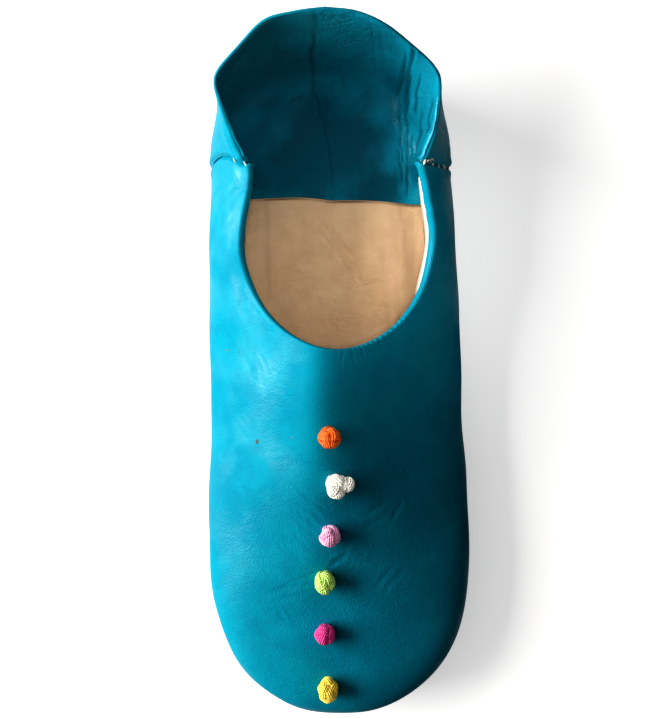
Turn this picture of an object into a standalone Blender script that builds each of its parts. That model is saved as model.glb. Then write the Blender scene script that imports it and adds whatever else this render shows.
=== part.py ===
"""A round-toed leather babouche slipper, in metres, +Z up, toe towards -Y.

The maker's pieces are a flat leather outsole, a tan leather insole, a soft one-piece
upper (vamp and both sides), a heel piece sewn to it at the two side seams, the heel
sock that lines the heel seat, and six knotted silk buttons down the vamp.
"""

import math

import bmesh
import bpy
import numpy as np
from mathutils import Matrix, Vector

# Driving sizes of the last and the sole
SOLE_LENGTH = 0.245
BALL_WIDTH = 0.0918
INSTEP_HEIGHT = 0.0525
HEEL_HEIGHT = 0.0640
TOE_CAP_LENGTH = 0.0585
HEEL_CAP_LENGTH = 0.0369
TOE_SPRING = 0.0030
TOE_SPRING_SHARE = 0.16
ARCH_LIFT = 0.0015
ARCH_START_SHARE = 0.42
ARCH_END_SHARE = 0.70
ARCH_EASE_SHARE = 0.10

# How the soft upper bellies out past the edge of the sole
OVERHANG_TOE = 0.0045
OVERHANG_BALL = 0.0050
OVERHANG_WAIST = 0.0085
OVERHANG_HEEL = 0.0030
OVERHANG_START_SHARE = 0.24
OVERHANG_RUN_SHARE = 0.40
BELLY_HEIGHT = 0.0150

# Thicknesses, margins and clearances
OUTSOLE_THICKNESS = 0.0035
INSOLE_THICKNESS = 0.0020
SOCK_THICKNESS = 0.0012
LEATHER_THICKNESS = 0.0016
FOLDED_THICKNESS = 0.0027
FOLD_WIDTH = 0.0070
FOLD_STEP = 0.0008
FEATHER_INSET = 0.0035
SEAM_PROUD = 0.0005
INSOLE_INSET = 0.0011
CLEARANCE = 0.0003
OUTSOLE_EDGE_ROUND = 0.0008
LEATHER_EDGE_ROUND = 0.0004

# The opening for the foot
THROAT_WIDTH = 0.0700
THROAT_DEPTH = 0.0407
THROAT_CENTRE_SHARE = 0.724
SEAM_OPENING = 0.0620
THROAT_SHIFT = 0.0015
RIDGE_SHIFT = -0.0060
RIDGE_SOFTNESS_SHARE = 0.13

# The heel piece leans back and spreads at its two corners
HEEL_RAKE = 0.0131
HEEL_SPREAD = 0.0835
HEEL_ASIDE = -0.0012

# Outline exponents: 2 is an ellipse, more is squarer
TOE_SQUARENESS = 2.3
HEEL_SQUARENESS = 2.1
HEEL_BELLY_SQUARENESS = 2.5
CROWN_SQUARENESS = 2.1

# The last, from toe to heel: along is a share of the sole's length, width of the ball
# width, rise of the instep's height over the belly, peak how far the vamp is a ridge
LAST_COLUMNS = ("along", "width", "rise", "peak")
LAST = (
    (0.00, 1.000, 0.42, 0.00),
    (0.12, 1.000, 0.45, 0.10),
    (0.21, 1.000, 0.53, 0.26),
    (0.28, 0.998, 0.63, 0.42),
    (0.35, 0.975, 0.74, 0.60),
    (0.43, 0.925, 0.85, 0.74),
    (0.56, 0.893, 1.00, 0.80),
    (0.64, 0.876, 1.03, 0.42),
    (0.72, 0.862, 1.03, 0.00),
    (0.85, 0.831, 0.98, 0.00),
    (1.00, 0.831, 0.98, 0.00),
)

# The heel piece's top edge, from the side seam to the middle of the back: turn is the
# share of that way round, across a share of half the spread, back a share of the way
# to the crown, climb of the height from seam to crown
TOPLINE_COLUMNS = ("turn", "across", "back", "climb")
TOPLINE = (
    (0.00, 0.738, 0.000, 0.00),
    (0.16, 0.840, 0.210, 0.14),
    (0.34, 1.000, 0.455, 0.40),
    (0.46, 0.945, 0.590, 0.54),
    (0.60, 0.760, 0.755, 0.72),
    (0.74, 0.520, 0.935, 0.92),
    (0.87, 0.270, 0.985, 0.98),
    (1.00, 0.000, 1.000, 1.00),
)

# The knotted buttons, from throat to toe: along is a share of the sole's length,
# aside of half the ball width and size of a button's usual size
KNOT_SIZE = 0.0090
KNOTS = (
    ("knot_orange", 0.430, -0.083, 1.00, (0.80, 0.13, 0.02)),
    ("knot_white", 0.353, -0.020, 1.13, (0.90, 0.86, 0.74)),
    ("knot_pink", 0.278, -0.089, 0.97, (0.78, 0.30, 0.48)),
    ("knot_green", 0.206, -0.133, 0.99, (0.42, 0.66, 0.12)),
    ("knot_magenta", 0.121, -0.139, 0.95, (0.62, 0.03, 0.22)),
    ("knot_yellow", 0.033, -0.122, 1.02, (0.90, 0.70, 0.10)),
)
KNOT_SEAT_SHARE = 0.80
KNOT_RELIEF_SHARE = 0.07
KNOT_GAP = 0.0006

# The heel sock's front edge, with its slight wave
SOCK_FRONT_SHARE = 0.801
SOCK_WAVE = 0.0009

# How many stations and rows carry the shapes
TOE_STATIONS = 13
SIDE_STATIONS = 13
HEEL_STATIONS = 12
ROLL_ROWS = 4
WALL_ROWS = 8
PROFILE_SAMPLES = 240
TOE_TURN_SHARE = 0.39
BLEND_TURN_SHARE = 0.60
SOCK_WAVE_POINTS = 12
PLATE_RINGS = (1.0, 0.86, 0.55, 0.0)
KNOT_SEGMENTS = 18
KNOT_RINGS = 10

TEAL_LEATHER = (0.0, 0.23, 0.34)
TAN_LEATHER = (0.52, 0.33, 0.18)
SOLE_LEATHER = (0.42, 0.27, 0.15)


def column(table, columns, name):
    """One named column of a table, as an array."""
    return np.array([row[columns.index(name)] for row in table], float)


def through(xs, ys, x):
    """A smooth curve through the points (xs, ys): cubic pieces whose slope at each
    point is that of the line between its two neighbours."""
    x = np.clip(x, xs[0], xs[-1])
    slopes = np.gradient(ys, xs)
    i = np.clip(np.searchsorted(xs, x, side="right") - 1, 0, len(xs) - 2)
    step = xs[i + 1] - xs[i]
    s = (x - xs[i]) / step
    start = (1 + 2 * s) * (1 - s) ** 2 * ys[i] + s * (1 - s) ** 2 * step * slopes[i]
    end = s * s * (3 - 2 * s) * ys[i + 1] + s * s * (s - 1) * step * slopes[i + 1]
    return start + end


def ease(x):
    """Runs from 0 to 1 with no slope at either end."""
    x = np.clip(x, 0.0, 1.0)
    return x * x * (3 - 2 * x)


def last(name, y):
    """A column of the last's table at the distance y from the toe of the sole."""
    along = column(LAST, LAST_COLUMNS, "along")
    values = column(LAST, LAST_COLUMNS, name)
    return through(along, values, y / SOLE_LENGTH)


def ground(y):
    """Height of the sole's underside: flat at heel and ball, lifted at toe and arch."""
    along = y / SOLE_LENGTH
    toe = TOE_SPRING * np.maximum(1.0 - along / TOE_SPRING_SHARE, 0.0) ** 2
    rise = ease((along - ARCH_START_SHARE) / ARCH_EASE_SHARE)
    fall = ease((ARCH_END_SHARE - along) / ARCH_EASE_SHARE)
    return toe + ARCH_LIFT * rise * fall


def side_overhang(y):
    """How far the belly of the wall stands past the sole's edge at the side."""
    share = ease((y / SOLE_LENGTH - OVERHANG_START_SHARE) / OVERHANG_RUN_SHARE)
    return OVERHANG_BALL + (OVERHANG_WAIST - OVERHANG_BALL) * share


def half_width(y, out):
    """Half the width of the outline at length y, grown by out."""
    return 0.5 * BALL_WIDTH * last("width", y) + out


def seam_length():
    """Distance from the toe of the sole to the side seams."""
    return SOLE_LENGTH - HEEL_CAP_LENGTH


def rim(turn, out_side, out_toe, out_heel, heel_squareness=HEEL_SQUARENESS):
    """Right half of an outline round the sole, grown by the given amounts.

    turn runs from 0 at the toe to 1 at the side seam and 2 at the back. Toe and heel
    are superellipses, and between them the half width follows the last's table."""
    toe_angle = 0.5 * math.pi * np.clip(turn / TOE_TURN_SHARE, 0.0, 1.0)
    heel_angle = 0.5 * math.pi * np.clip(turn - 1.0, 0.0, 1.0)
    toe_power = 2.0 / TOE_SQUARENESS
    heel_power = 2.0 / heel_squareness
    side = np.clip((turn - TOE_TURN_SHARE) / (1.0 - TOE_TURN_SHARE), 0.0, 1.0)
    y = TOE_CAP_LENGTH + side * (seam_length() - TOE_CAP_LENGTH)
    x = half_width(y, out_side(y) if callable(out_side) else out_side)
    x = x * np.abs(np.sin(toe_angle)) ** toe_power
    x = x * np.abs(np.cos(heel_angle)) ** heel_power
    y = y - (TOE_CAP_LENGTH + out_toe) * np.abs(np.cos(toe_angle)) ** toe_power
    y = y + (HEEL_CAP_LENGTH + out_heel) * np.abs(np.sin(heel_angle)) ** heel_power
    return x, y


def feather(turn):
    """Where the wall is sewn down to the sole."""
    return rim(turn, -FEATHER_INSET, -FEATHER_INSET, -FEATHER_INSET)


def belly(turn):
    """The widest line of the wall."""
    return rim(turn, side_overhang, OVERHANG_TOE, OVERHANG_HEEL, HEEL_BELLY_SQUARENESS)


def vamp_height(x, y):
    """Height of the vamp over the plan point (x, y).

    The belly line is level 1 of a superellipse, the ridge is level 0, and the section
    between them mixes an arch with a soft ridge."""
    width = half_width(y, side_overhang(y))
    ahead = np.clip((TOE_CAP_LENGTH - y) / (TOE_CAP_LENGTH + OVERHANG_TOE), 0.0, 1.0)
    plain = np.clip(np.abs(x / width) ** TOE_SQUARENESS + ahead**TOE_SQUARENESS, 0.0, 1.0)
    leaning = x - RIDGE_SHIFT * (1.0 - plain ** (2.0 / TOE_SQUARENESS))
    level = np.abs(leaning / width) ** TOE_SQUARENESS + ahead**TOE_SQUARENESS
    level = np.clip(level, 0.0, 1.0) ** (1.0 / TOE_SQUARENESS)
    arch = np.clip(1.0 - level**CROWN_SQUARENESS, 0.0, 1.0) ** (1.0 / CROWN_SQUARENESS)
    reach = math.hypot(1.0, RIDGE_SOFTNESS_SHARE) - RIDGE_SOFTNESS_SHARE
    ridge = 1.0 - (np.hypot(level, RIDGE_SOFTNESS_SHARE) - RIDGE_SOFTNESS_SHARE) / reach
    peak = last("peak", y)
    shape = peak * ridge + (1.0 - peak) * arch
    rise = (INSTEP_HEIGHT - BELLY_HEIGHT) * last("rise", y)
    return BELLY_HEIGHT + ground(y) + rise * shape


def throat(x, y):
    """Where the wall that stands over the belly point (x, y) meets the opening.

    Ahead of its widest place the opening is half an ellipse, met along rays from its
    centre, and behind that place it narrows to the side seams."""
    centre = THROAT_CENTRE_SHARE * SOLE_LENGTH
    dy = np.minimum(y - centre, 0.0)
    scale = 1.0 / np.hypot(x / (0.5 * THROAT_WIDTH), dy / THROAT_DEPTH)
    behind = np.clip((y - centre) / (seam_length() - centre), 0.0, 1.0)
    half = 0.5 * (THROAT_WIDTH + (SEAM_OPENING - THROAT_WIDTH) * ease(behind))
    shift = THROAT_SHIFT * (1.0 - 0.5 * behind)
    ray_x = x * scale
    side_x = np.sign(x) * half
    back = y > centre
    return np.where(back, side_x, ray_x) + shift, np.where(back, y, centre + dy * scale)


def roll(turn, side, t, lift):
    """The lower part of the wall, t from -1 to 0: a quarter of an ellipse that leaves
    the sole flat, lift above its clearance, and ends upright at the belly."""
    foot_x, foot_y = feather(turn)
    wide_x, wide_y = belly(turn)
    angle = 0.5 * math.pi * (np.clip(t, -1.0, 0.0) + 1.0)
    x = foot_x + (wide_x - foot_x) * np.sin(angle)
    y = foot_y + (wide_y - foot_y) * np.sin(angle)
    low = OUTSOLE_THICKNESS + CLEARANCE + lift
    z = ground(y) + BELLY_HEIGHT - (BELLY_HEIGHT - low) * np.cos(angle)
    return side * x, y, z


def vamp(turn, side, t):
    """Outer face of the upper. t is -1 at the sole, 0 at the belly, 1 at the throat."""
    low_x, low_y, low_z = roll(turn, side, t, 0.0)
    wide_x, wide_y = belly(turn)
    wide_x = side * wide_x
    top_x, top_y = throat(wide_x, wide_y)
    way = np.clip(t, 0.0, 1.0) ** 2
    x = wide_x + (top_x - wide_x) * way
    y = wide_y + (top_y - wide_y) * way
    z = vamp_height(x, y)
    low = t <= 0.0
    points = np.where(low, low_x, x), np.where(low, low_y, y), np.where(low, low_z, z)
    return np.stack(np.broadcast_arrays(*points), axis=-1)


def heel(turn, side, t):
    """Outer face of the heel piece, turn from 1 at the side seam to 2 at the back.

    Its section starts as the upper's own at the seam and becomes a plain wall that
    leans out to the top edge."""
    low_x, low_y, low_z = roll(turn, side, t, SEAM_PROUD)
    wide_x, wide_y = belly(turn)
    seam = vamp(np.ones_like(turn), side, t)
    seam_top = vamp(np.ones_like(turn), side, np.ones_like(turn))
    share = turn - 1.0
    turns = column(TOPLINE, TOPLINE_COLUMNS, "turn")
    across_values = column(TOPLINE, TOPLINE_COLUMNS, "across")
    across = through(turns, across_values, share)
    back = through(turns, column(TOPLINE, TOPLINE_COLUMNS, "back"), share)
    climb = through(turns, column(TOPLINE, TOPLINE_COLUMNS, "climb"), share)
    seam_error = seam_top[..., 0] - side * across_values[0] * 0.5 * HEEL_SPREAD
    top_x = side * across * 0.5 * HEEL_SPREAD + HEEL_ASIDE * ease(2.0 * share)
    top_x = top_x + seam_error * (1.0 - ease(share))
    top_y = seam_length() + back * (HEEL_CAP_LENGTH + HEEL_RAKE)
    up = np.clip(t, 0.0, 1.0)
    seam_low = BELLY_HEIGHT + ground(seam_length())
    seam_rise = (seam[..., 2] - seam_low) / (seam_top[..., 2] - seam_low)
    blend = ease(share / BLEND_TURN_SHARE)
    rise = (1.0 - blend) * seam_rise + blend * up
    way = (1.0 - blend) * up**2 + blend * up**1.5
    x = side * wide_x + (top_x - side * wide_x) * way
    y = wide_y + (top_y - wide_y) * way
    top_z = seam_top[..., 2] + climb * (HEEL_HEIGHT - seam_top[..., 2])
    z = seam_low + (top_z - seam_low) * rise
    low = t <= 0.0
    points = np.where(low, low_x, x), np.where(low, low_y, y), np.where(low, low_z, z)
    return np.stack(np.broadcast_arrays(*points), axis=-1)


def wall_rows(surface, turn, side):
    """The rows of a wall at one station: even steps up to the folded edge, whose rows
    keep their true distance from the top."""
    t = np.linspace(-1.0, 1.0, PROFILE_SAMPLES)[None, :]
    path = surface(turn, side, t)
    steps = np.linalg.norm(np.diff(path, axis=1), axis=2)
    left = np.cumsum(steps[:, ::-1], axis=1)[:, ::-1]
    left = np.concatenate([left, np.zeros((len(left), 1))], axis=1)
    marks = np.array([FOLD_WIDTH + FOLD_STEP, FOLD_WIDTH, 0.5 * FOLD_WIDTH, 0.0])
    rows = []
    for station in left:
        fold = np.interp(marks, station[::-1], t[0, ::-1])
        rolled = np.linspace(-1.0, 0.0, ROLL_ROWS + 1)[:-1]
        main = fold[0] * np.linspace(0.0, 1.0, WALL_ROWS + 1)
        rows.append(np.concatenate([rolled, main, fold[1:]]))
    return np.array(rows)


def grid_faces(across, along, closed=False):
    """Quads of a grid of across by along points, wrapped round if closed."""
    last_column = across if closed else across - 1
    faces = []
    for i in range(last_column):
        for j in range(along - 1):
            a = i * along + j
            b = (i + 1) % across * along + j
            faces.append((a, a + 1, b + 1, b))
    return faces


def new_object(name, vertices, faces, collection, material):
    """A mesh object from points and faces, with its normals made to agree."""
    mesh = bpy.data.meshes.new(name)
    mesh.from_pydata([tuple(v) for v in vertices], [], faces)
    shape = bmesh.new()
    shape.from_mesh(mesh)
    bmesh.ops.remove_doubles(shape, verts=shape.verts, dist=1e-6)
    bmesh.ops.recalc_face_normals(shape, faces=shape.faces)
    shape.to_mesh(mesh)
    shape.free()
    mesh.materials.append(material)
    mesh.shade_smooth()
    mesh.set_sharp_from_angle(angle=math.radians(40))
    thing = bpy.data.objects.new(name, mesh)
    collection.objects.link(thing)
    return thing


def add_bevel(thing, width):
    """Rounds a piece's sharp edges."""
    bevel = thing.modifiers.new("edge_round", "BEVEL")
    bevel.width = width
    bevel.segments = 2
    bevel.limit_method = "ANGLE"
    bevel.angle_limit = math.radians(55)
    bevel.use_clamp_overlap = True


def leather_wall(name, surface, stations, material, collection, proud):
    """A hollow wall of leather: the outer face as a grid, made solid inwards, with a
    thicker folded band along its top edge."""
    rows = []
    for turn, side in stations:
        at = np.array([[turn]])
        rows.append(surface(at, side, wall_rows(surface, at, side))[0])
    points = np.array(rows)
    across, along = points.shape[:2]
    thing = new_object(
        name, points.reshape(-1, 3), grid_faces(across, along), collection, material
    )
    face = thing.data.polygons[len(thing.data.polygons) // 2]
    inside = Vector((0.0, 0.5 * SOLE_LENGTH, BELLY_HEIGHT))
    if face.normal.dot(face.center - inside) < 0.0:
        thing.data.flip_normals()
    plain = thing.vertex_groups.new(name="thickness")
    for vertex in range(across * along):
        folded = vertex % along >= along - 3
        share = 1.0 if folded else LEATHER_THICKNESS / FOLDED_THICKNESS
        plain.add([vertex], share, "REPLACE")
    solid = thing.modifiers.new("leather", "SOLIDIFY")
    solid.thickness = FOLDED_THICKNESS + proud
    solid.offset = -1.0 + 2.0 * proud / (FOLDED_THICKNESS + proud)
    solid.vertex_group = "thickness"
    solid.use_even_offset = False
    add_bevel(thing, LEATHER_EDGE_ROUND)
    return thing


def upper_stations():
    """From the left side seam round the toe to the right one, each a gap short."""
    side_way = seam_length() - TOE_CAP_LENGTH
    end = 1.0 - (1.0 - TOE_TURN_SHARE) * 0.5 * CLEARANCE / side_way
    toe = np.linspace(0.0, TOE_TURN_SHARE, TOE_STATIONS)
    flank = np.linspace(TOE_TURN_SHARE, end, SIDE_STATIONS)[1:]
    half = np.concatenate([toe, flank])
    left = [(turn, -1.0) for turn in half[:0:-1]]
    return left + [(turn, 1.0) for turn in half]


def heel_stations():
    """From the right side seam round the back to the left one, each a gap short."""
    sine = (0.5 * CLEARANCE / HEEL_CAP_LENGTH) ** (0.5 * HEEL_SQUARENESS)
    start = 2.0 / math.pi * math.asin(sine)
    half = 1.0 + np.linspace(start, 1.0, HEEL_STATIONS)
    right = [(turn, 1.0) for turn in half]
    return right + [(turn, -1.0) for turn in half[-2::-1]]


def plate(name, outline, floor, thickness, edge_round, material, collection):
    """A flat leather piece: rings drawn in from its outline to the middle line, laid
    on the given floor, with its thickness above."""
    low = outline[:, 1].min() + 0.5 * BALL_WIDTH
    high = outline[:, 1].max() - 0.5 * BALL_WIDTH
    middle = 0.5 * (low + high)
    spine_y = np.clip(outline[:, 1], min(low, middle), max(high, middle))
    spine = np.stack([np.zeros(len(outline)), spine_y], axis=1)
    rings = np.array([spine + share * (outline - spine) for share in PLATE_RINGS])
    rings = rings.transpose(1, 0, 2)
    heights = floor(rings[..., 1])
    points = np.concatenate([rings, heights[..., None]], axis=2)
    across, along = points.shape[:2]
    thing = new_object(
        name,
        points.reshape(-1, 3),
        grid_faces(across, along, closed=True),
        collection,
        material,
    )
    if thing.data.polygons[0].normal.z > 0.0:
        thing.data.flip_normals()
    solid = thing.modifiers.new("thickness", "SOLIDIFY")
    solid.thickness = thickness
    solid.offset = -1.0
    add_bevel(thing, edge_round)
    return thing


def mirrored(turns, out):
    """The outline grown by out through the given turns, then back by the left side."""
    right = np.stack(rim(turns, out, out, out), axis=1)
    return np.concatenate([right, right[-2::-1] * np.array([-1.0, 1.0])])


def full_outline(out):
    """A closed outline round the sole, grown by out, from the toe by the right side."""
    toe = np.linspace(0.0, TOE_TURN_SHARE, TOE_STATIONS)
    flank = np.linspace(TOE_TURN_SHARE, 1.0, SIDE_STATIONS)[1:]
    back = np.linspace(1.0, 2.0, HEEL_STATIONS)[1:]
    return mirrored(np.concatenate([toe, flank, back]), out)[:-1]


def sock_outline():
    """The heel sock: the insole's heel end, closed by a front edge with a slight wave."""
    inset = -(FEATHER_INSET + INSOLE_INSET + CLEARANCE)
    front = SOCK_FRONT_SHARE * SOLE_LENGTH
    way = seam_length() - TOE_CAP_LENGTH
    start = TOE_TURN_SHARE + (1.0 - TOE_TURN_SHARE) * (front - TOE_CAP_LENGTH) / way
    flank = np.linspace(start, 1.0, 4)
    back = np.linspace(1.0, 2.0, HEEL_STATIONS)[1:]
    sides = mirrored(np.concatenate([flank, back]), inset)
    across = np.linspace(-1.0, 1.0, SOCK_WAVE_POINTS)[1:-1]
    edge_y = front + SOCK_WAVE * np.sin(2.5 * math.pi * across)
    edge = np.stack([across * sides[0, 0], edge_y], axis=1)
    return np.concatenate([sides, edge])


def knot(name, along, aside, size, colour, collection):
    """A ball of interlaced silk strips, flattened where it sits on the vamp.

    Its radius swells where two families of slanting strips run and dips between."""
    radius = 0.5 * size * KNOT_SIZE
    x = 0.5 * aside * BALL_WIDTH
    y = along * SOLE_LENGTH
    step = 0.5 * radius
    base = Vector((x, y, vamp_height(x, y)))
    slope_x = (vamp_height(x + step, y) - vamp_height(x - step, y)) / (2 * step)
    slope_y = (vamp_height(x, y + step) - vamp_height(x, y - step)) / (2 * step)
    normal = Vector((-slope_x, -slope_y, 1.0)).normalized()
    shape = bmesh.new()
    bmesh.ops.create_uvsphere(
        shape, u_segments=KNOT_SEGMENTS, v_segments=KNOT_RINGS, radius=radius
    )
    for vertex in shape.verts:
        angle = math.atan2(vertex.co.y, vertex.co.x)
        rise = math.asin(max(-1.0, min(1.0, vertex.co.z / radius)))
        strips = math.sin(3.0 * angle + 3.0 * rise) * math.sin(3.0 * angle - 3.0 * rise)
        vertex.co *= 1.0 + KNOT_RELIEF_SHARE * strips * math.cos(rise)
        vertex.co.z = max(vertex.co.z, -KNOT_SEAT_SHARE * radius)
    mesh = bpy.data.meshes.new(name)
    shape.to_mesh(mesh)
    shape.free()
    mesh.materials.append(new_material(name, colour, 0.75))
    mesh.shade_smooth()
    thing = bpy.data.objects.new(name, mesh)
    thing.location = base + normal * (KNOT_SEAT_SHARE * radius + KNOT_GAP)
    thing.rotation_euler = normal.to_track_quat("Z", "Y").to_euler()
    collection.objects.link(thing)
    return thing


def new_material(name, colour, roughness):
    """A plain Principled material."""
    material = bpy.data.materials.new(name)
    material.use_nodes = True
    shader = material.node_tree.nodes["Principled BSDF"]
    shader.inputs["Base Color"].default_value = (*colour, 1.0)
    shader.inputs["Roughness"].default_value = roughness
    shader.inputs["Metallic"].default_value = 0.0
    return material


def centre_on_origin(things):
    """Moves the slipper so that the middle of its footprint is at the origin."""
    bpy.context.view_layer.update()
    graph = bpy.context.evaluated_depsgraph_get()
    low = Vector((1.0, 1.0, 1.0))
    high = -low
    for thing in things:
        evaluated = thing.evaluated_get(graph)
        for vertex in evaluated.to_mesh().vertices:
            point = evaluated.matrix_world @ vertex.co
            low = Vector(map(min, low, point))
            high = Vector(map(max, high, point))
        evaluated.to_mesh_clear()
    offset = Vector((-0.5 * (low.x + high.x), -0.5 * (low.y + high.y), -low.z))
    for thing in things:
        thing.matrix_world = Matrix.Translation(offset) @ thing.matrix_world


def build():
    """Makes every piece of the slipper."""
    for thing in list(bpy.data.objects):
        bpy.data.objects.remove(thing)
    pieces = bpy.data.collections.new("babouche_slipper")
    bpy.context.scene.collection.children.link(pieces)
    teal = new_material("teal_leather", TEAL_LEATHER, 0.45)
    tan = new_material("tan_leather", TAN_LEATHER, 0.65)
    sole = new_material("sole_leather", SOLE_LEATHER, 0.70)
    insole_low = OUTSOLE_THICKNESS + CLEARANCE
    sock_low = insole_low + INSOLE_THICKNESS + CLEARANCE
    insole_out = -(FEATHER_INSET + INSOLE_INSET)
    things = [
        plate(
            "outsole", full_outline(0.0), ground,
            OUTSOLE_THICKNESS, OUTSOLE_EDGE_ROUND, sole, pieces,
        ),
        plate(
            "insole", full_outline(insole_out), lambda y: ground(y) + insole_low,
            INSOLE_THICKNESS, LEATHER_EDGE_ROUND, tan, pieces,
        ),
        plate(
            "heel_sock", sock_outline(), lambda y: ground(y) + sock_low,
            SOCK_THICKNESS, LEATHER_EDGE_ROUND, teal, pieces,
        ),
        leather_wall("upper", vamp, upper_stations(), teal, pieces, 0.0),
        leather_wall("heel_piece", heel, heel_stations(), teal, pieces, SEAM_PROUD),
    ]
    for name, along, aside, size, colour in KNOTS:
        things.append(knot(name, along, aside, size, colour, pieces))
    centre_on_origin(things)


build()
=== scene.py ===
"""A teal leather babouche with knotted silk buttons, in metres, toe towards -Y."""

import math

import bmesh
import bpy
import numpy as np
from mathutils import Matrix, Vector


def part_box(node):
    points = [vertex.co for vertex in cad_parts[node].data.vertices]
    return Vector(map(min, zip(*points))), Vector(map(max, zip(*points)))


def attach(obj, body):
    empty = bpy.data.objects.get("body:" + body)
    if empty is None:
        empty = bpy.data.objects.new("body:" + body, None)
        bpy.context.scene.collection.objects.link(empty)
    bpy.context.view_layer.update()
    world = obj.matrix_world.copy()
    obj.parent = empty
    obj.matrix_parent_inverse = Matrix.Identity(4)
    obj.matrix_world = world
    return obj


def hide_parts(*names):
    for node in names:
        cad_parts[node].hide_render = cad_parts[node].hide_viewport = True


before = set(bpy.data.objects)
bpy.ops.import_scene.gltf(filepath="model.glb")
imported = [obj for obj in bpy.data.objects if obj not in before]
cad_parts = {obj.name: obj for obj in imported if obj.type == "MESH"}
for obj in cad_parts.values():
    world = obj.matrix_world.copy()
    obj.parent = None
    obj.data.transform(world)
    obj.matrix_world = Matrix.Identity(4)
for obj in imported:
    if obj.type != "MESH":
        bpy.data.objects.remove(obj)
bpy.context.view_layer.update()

# Outsole
# One layer of firm cowhide, cut to a straight last so that it serves either foot. Its
# edge is rounded and rubbed smooth, and the worn underside shows the nap of the hide.
MM = 0.001
SOLE_LENGTH = 0.245
BALL_WIDTH = 0.0918
TOE_CAP_LENGTH = 0.0585
HEEL_CAP_LENGTH = 0.0369
TOE_TURN = 0.39
TOE_SQUARENESS = 2.3
TOE_POWER = 2.0 / TOE_SQUARENESS
HEEL_POWER = 2.0 / 2.1
OUTSOLE_THICKNESS = 3.5 * MM
TOE_SPRING = 3.0 * MM
ARCH_LIFT = 1.5 * MM
SEAM_FROM_TOE = SOLE_LENGTH - HEEL_CAP_LENGTH
TOE_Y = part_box("outsole")[0].y
LAST_ALONG = (0.0, 0.12, 0.21, 0.28, 0.35, 0.43, 0.56, 0.64, 0.72, 0.85, 1.0)
LAST_WIDTH = (1.0, 1.0, 1.0, 0.998, 0.975, 0.925, 0.893, 0.876, 0.862, 0.831, 0.831)


def ease(x):
    """Runs from 0 to 1 with no slope at either end: 3 x squared less 2 x cubed."""
    x = np.clip(x, 0.0, 1.0)
    return x * x * (3.0 - 2.0 * x)


def between(x, start, rise, end, fall):
    """Eases from 0 to 1 over the rise after the start, and back over the fall before
    the end."""
    return ease((x - start) / rise) * ease((end - x) / fall)


def bell(x):
    """A bell: e to the power of minus x squared."""
    return np.exp(-(x * x))


def through(xs, ys, x):
    """A smooth curve through the points: cubic pieces whose slope at each point is
    that of the line between its two neighbours."""
    xs = np.asarray(xs, float)
    ys = np.asarray(ys, float)
    x = np.clip(x, xs[0], xs[-1])
    slopes = np.gradient(ys, xs)
    i = np.clip(np.searchsorted(xs, x, side="right") - 1, 0, len(xs) - 2)
    step = xs[i + 1] - xs[i]
    s = (x - xs[i]) / step
    start = (1 + 2 * s) * (1 - s) ** 2 * ys[i] + s * (1 - s) ** 2 * step * slopes[i]
    end = s * s * (3 - 2 * s) * ys[i + 1] + s * s * (s - 1) * step * slopes[i + 1]
    return start + end


def sole_lift(y):
    """Height of the sole's underside: a parabola under the toe, a low arch at the waist."""
    along = y / SOLE_LENGTH
    toe = TOE_SPRING * np.maximum(1.0 - along / 0.16, 0.0) ** 2
    return toe + ARCH_LIFT * between(along, 0.42, 0.1, 0.7, 0.1)


def half_outline(turn, side_out, toe_out, heel_out, heel_power=HEEL_POWER):
    """Right half of an outline round the last, turn from 0 at the toe through 1 at the
    side seam to 2 at the back: superellipse caps, and a width table between them."""
    toe_angle = 0.5 * math.pi * np.clip(turn / TOE_TURN, 0.0, 1.0)
    heel_angle = 0.5 * math.pi * np.clip(turn - 1.0, 0.0, 1.0)
    side = np.clip((turn - TOE_TURN) / (1.0 - TOE_TURN), 0.0, 1.0)
    y = TOE_CAP_LENGTH + side * (SEAM_FROM_TOE - TOE_CAP_LENGTH)
    out = side_out(y) if callable(side_out) else side_out
    x = 0.5 * BALL_WIDTH * through(LAST_ALONG, LAST_WIDTH, y / SOLE_LENGTH) + out
    x = x * np.sin(toe_angle) ** TOE_POWER * np.abs(np.cos(heel_angle)) ** heel_power
    y = y - (TOE_CAP_LENGTH + toe_out) * np.abs(np.cos(toe_angle)) ** TOE_POWER
    y = y + (HEEL_CAP_LENGTH + heel_out) * np.sin(heel_angle) ** heel_power
    return x, y


def show(name, data):
    """Puts a mesh, lamp or camera into the scene."""
    thing = bpy.data.objects.new(name, data)
    bpy.context.scene.collection.objects.link(thing)
    return thing


def skin(name, grid, material, wrap=False, coords=None, shade=None):
    """A mesh whose points are a grid of columns and rows, with its faces made of
    neighbouring points, wrapped round the columns if asked, and its seams merged."""
    across, along = grid.shape[:2]
    a = np.arange(across if wrap else across - 1)[:, None]
    b = np.arange(along - 1)[None, :]
    near = a * along + b
    far = (a + 1) % across * along + b
    quads = np.stack([near, near + 1, far + 1, far], axis=-1).reshape(-1, 4)
    mesh = bpy.data.meshes.new(name)
    mesh.from_pydata(grid.reshape(-1, 3).tolist(), [], quads.tolist())
    if coords is not None:
        flat = coords.reshape(-1, 2)[quads.reshape(-1)]
        mesh.uv_layers.new(name="strand").data.foreach_set("uv", flat.reshape(-1))
    if shade is not None:
        mesh.attributes.new("painted_shade", "FLOAT", "POINT").data.foreach_set("value", shade.reshape(-1))
    shape = bmesh.new()
    shape.from_mesh(mesh)
    bmesh.ops.remove_doubles(shape, verts=shape.verts, dist=2e-6)
    bmesh.ops.recalc_face_normals(shape, faces=shape.faces)
    shape.to_mesh(mesh)
    shape.free()
    mesh.shade_smooth()
    mesh.materials.append(material)
    piece = show(name, mesh)
    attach(piece, "root")
    return piece


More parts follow.
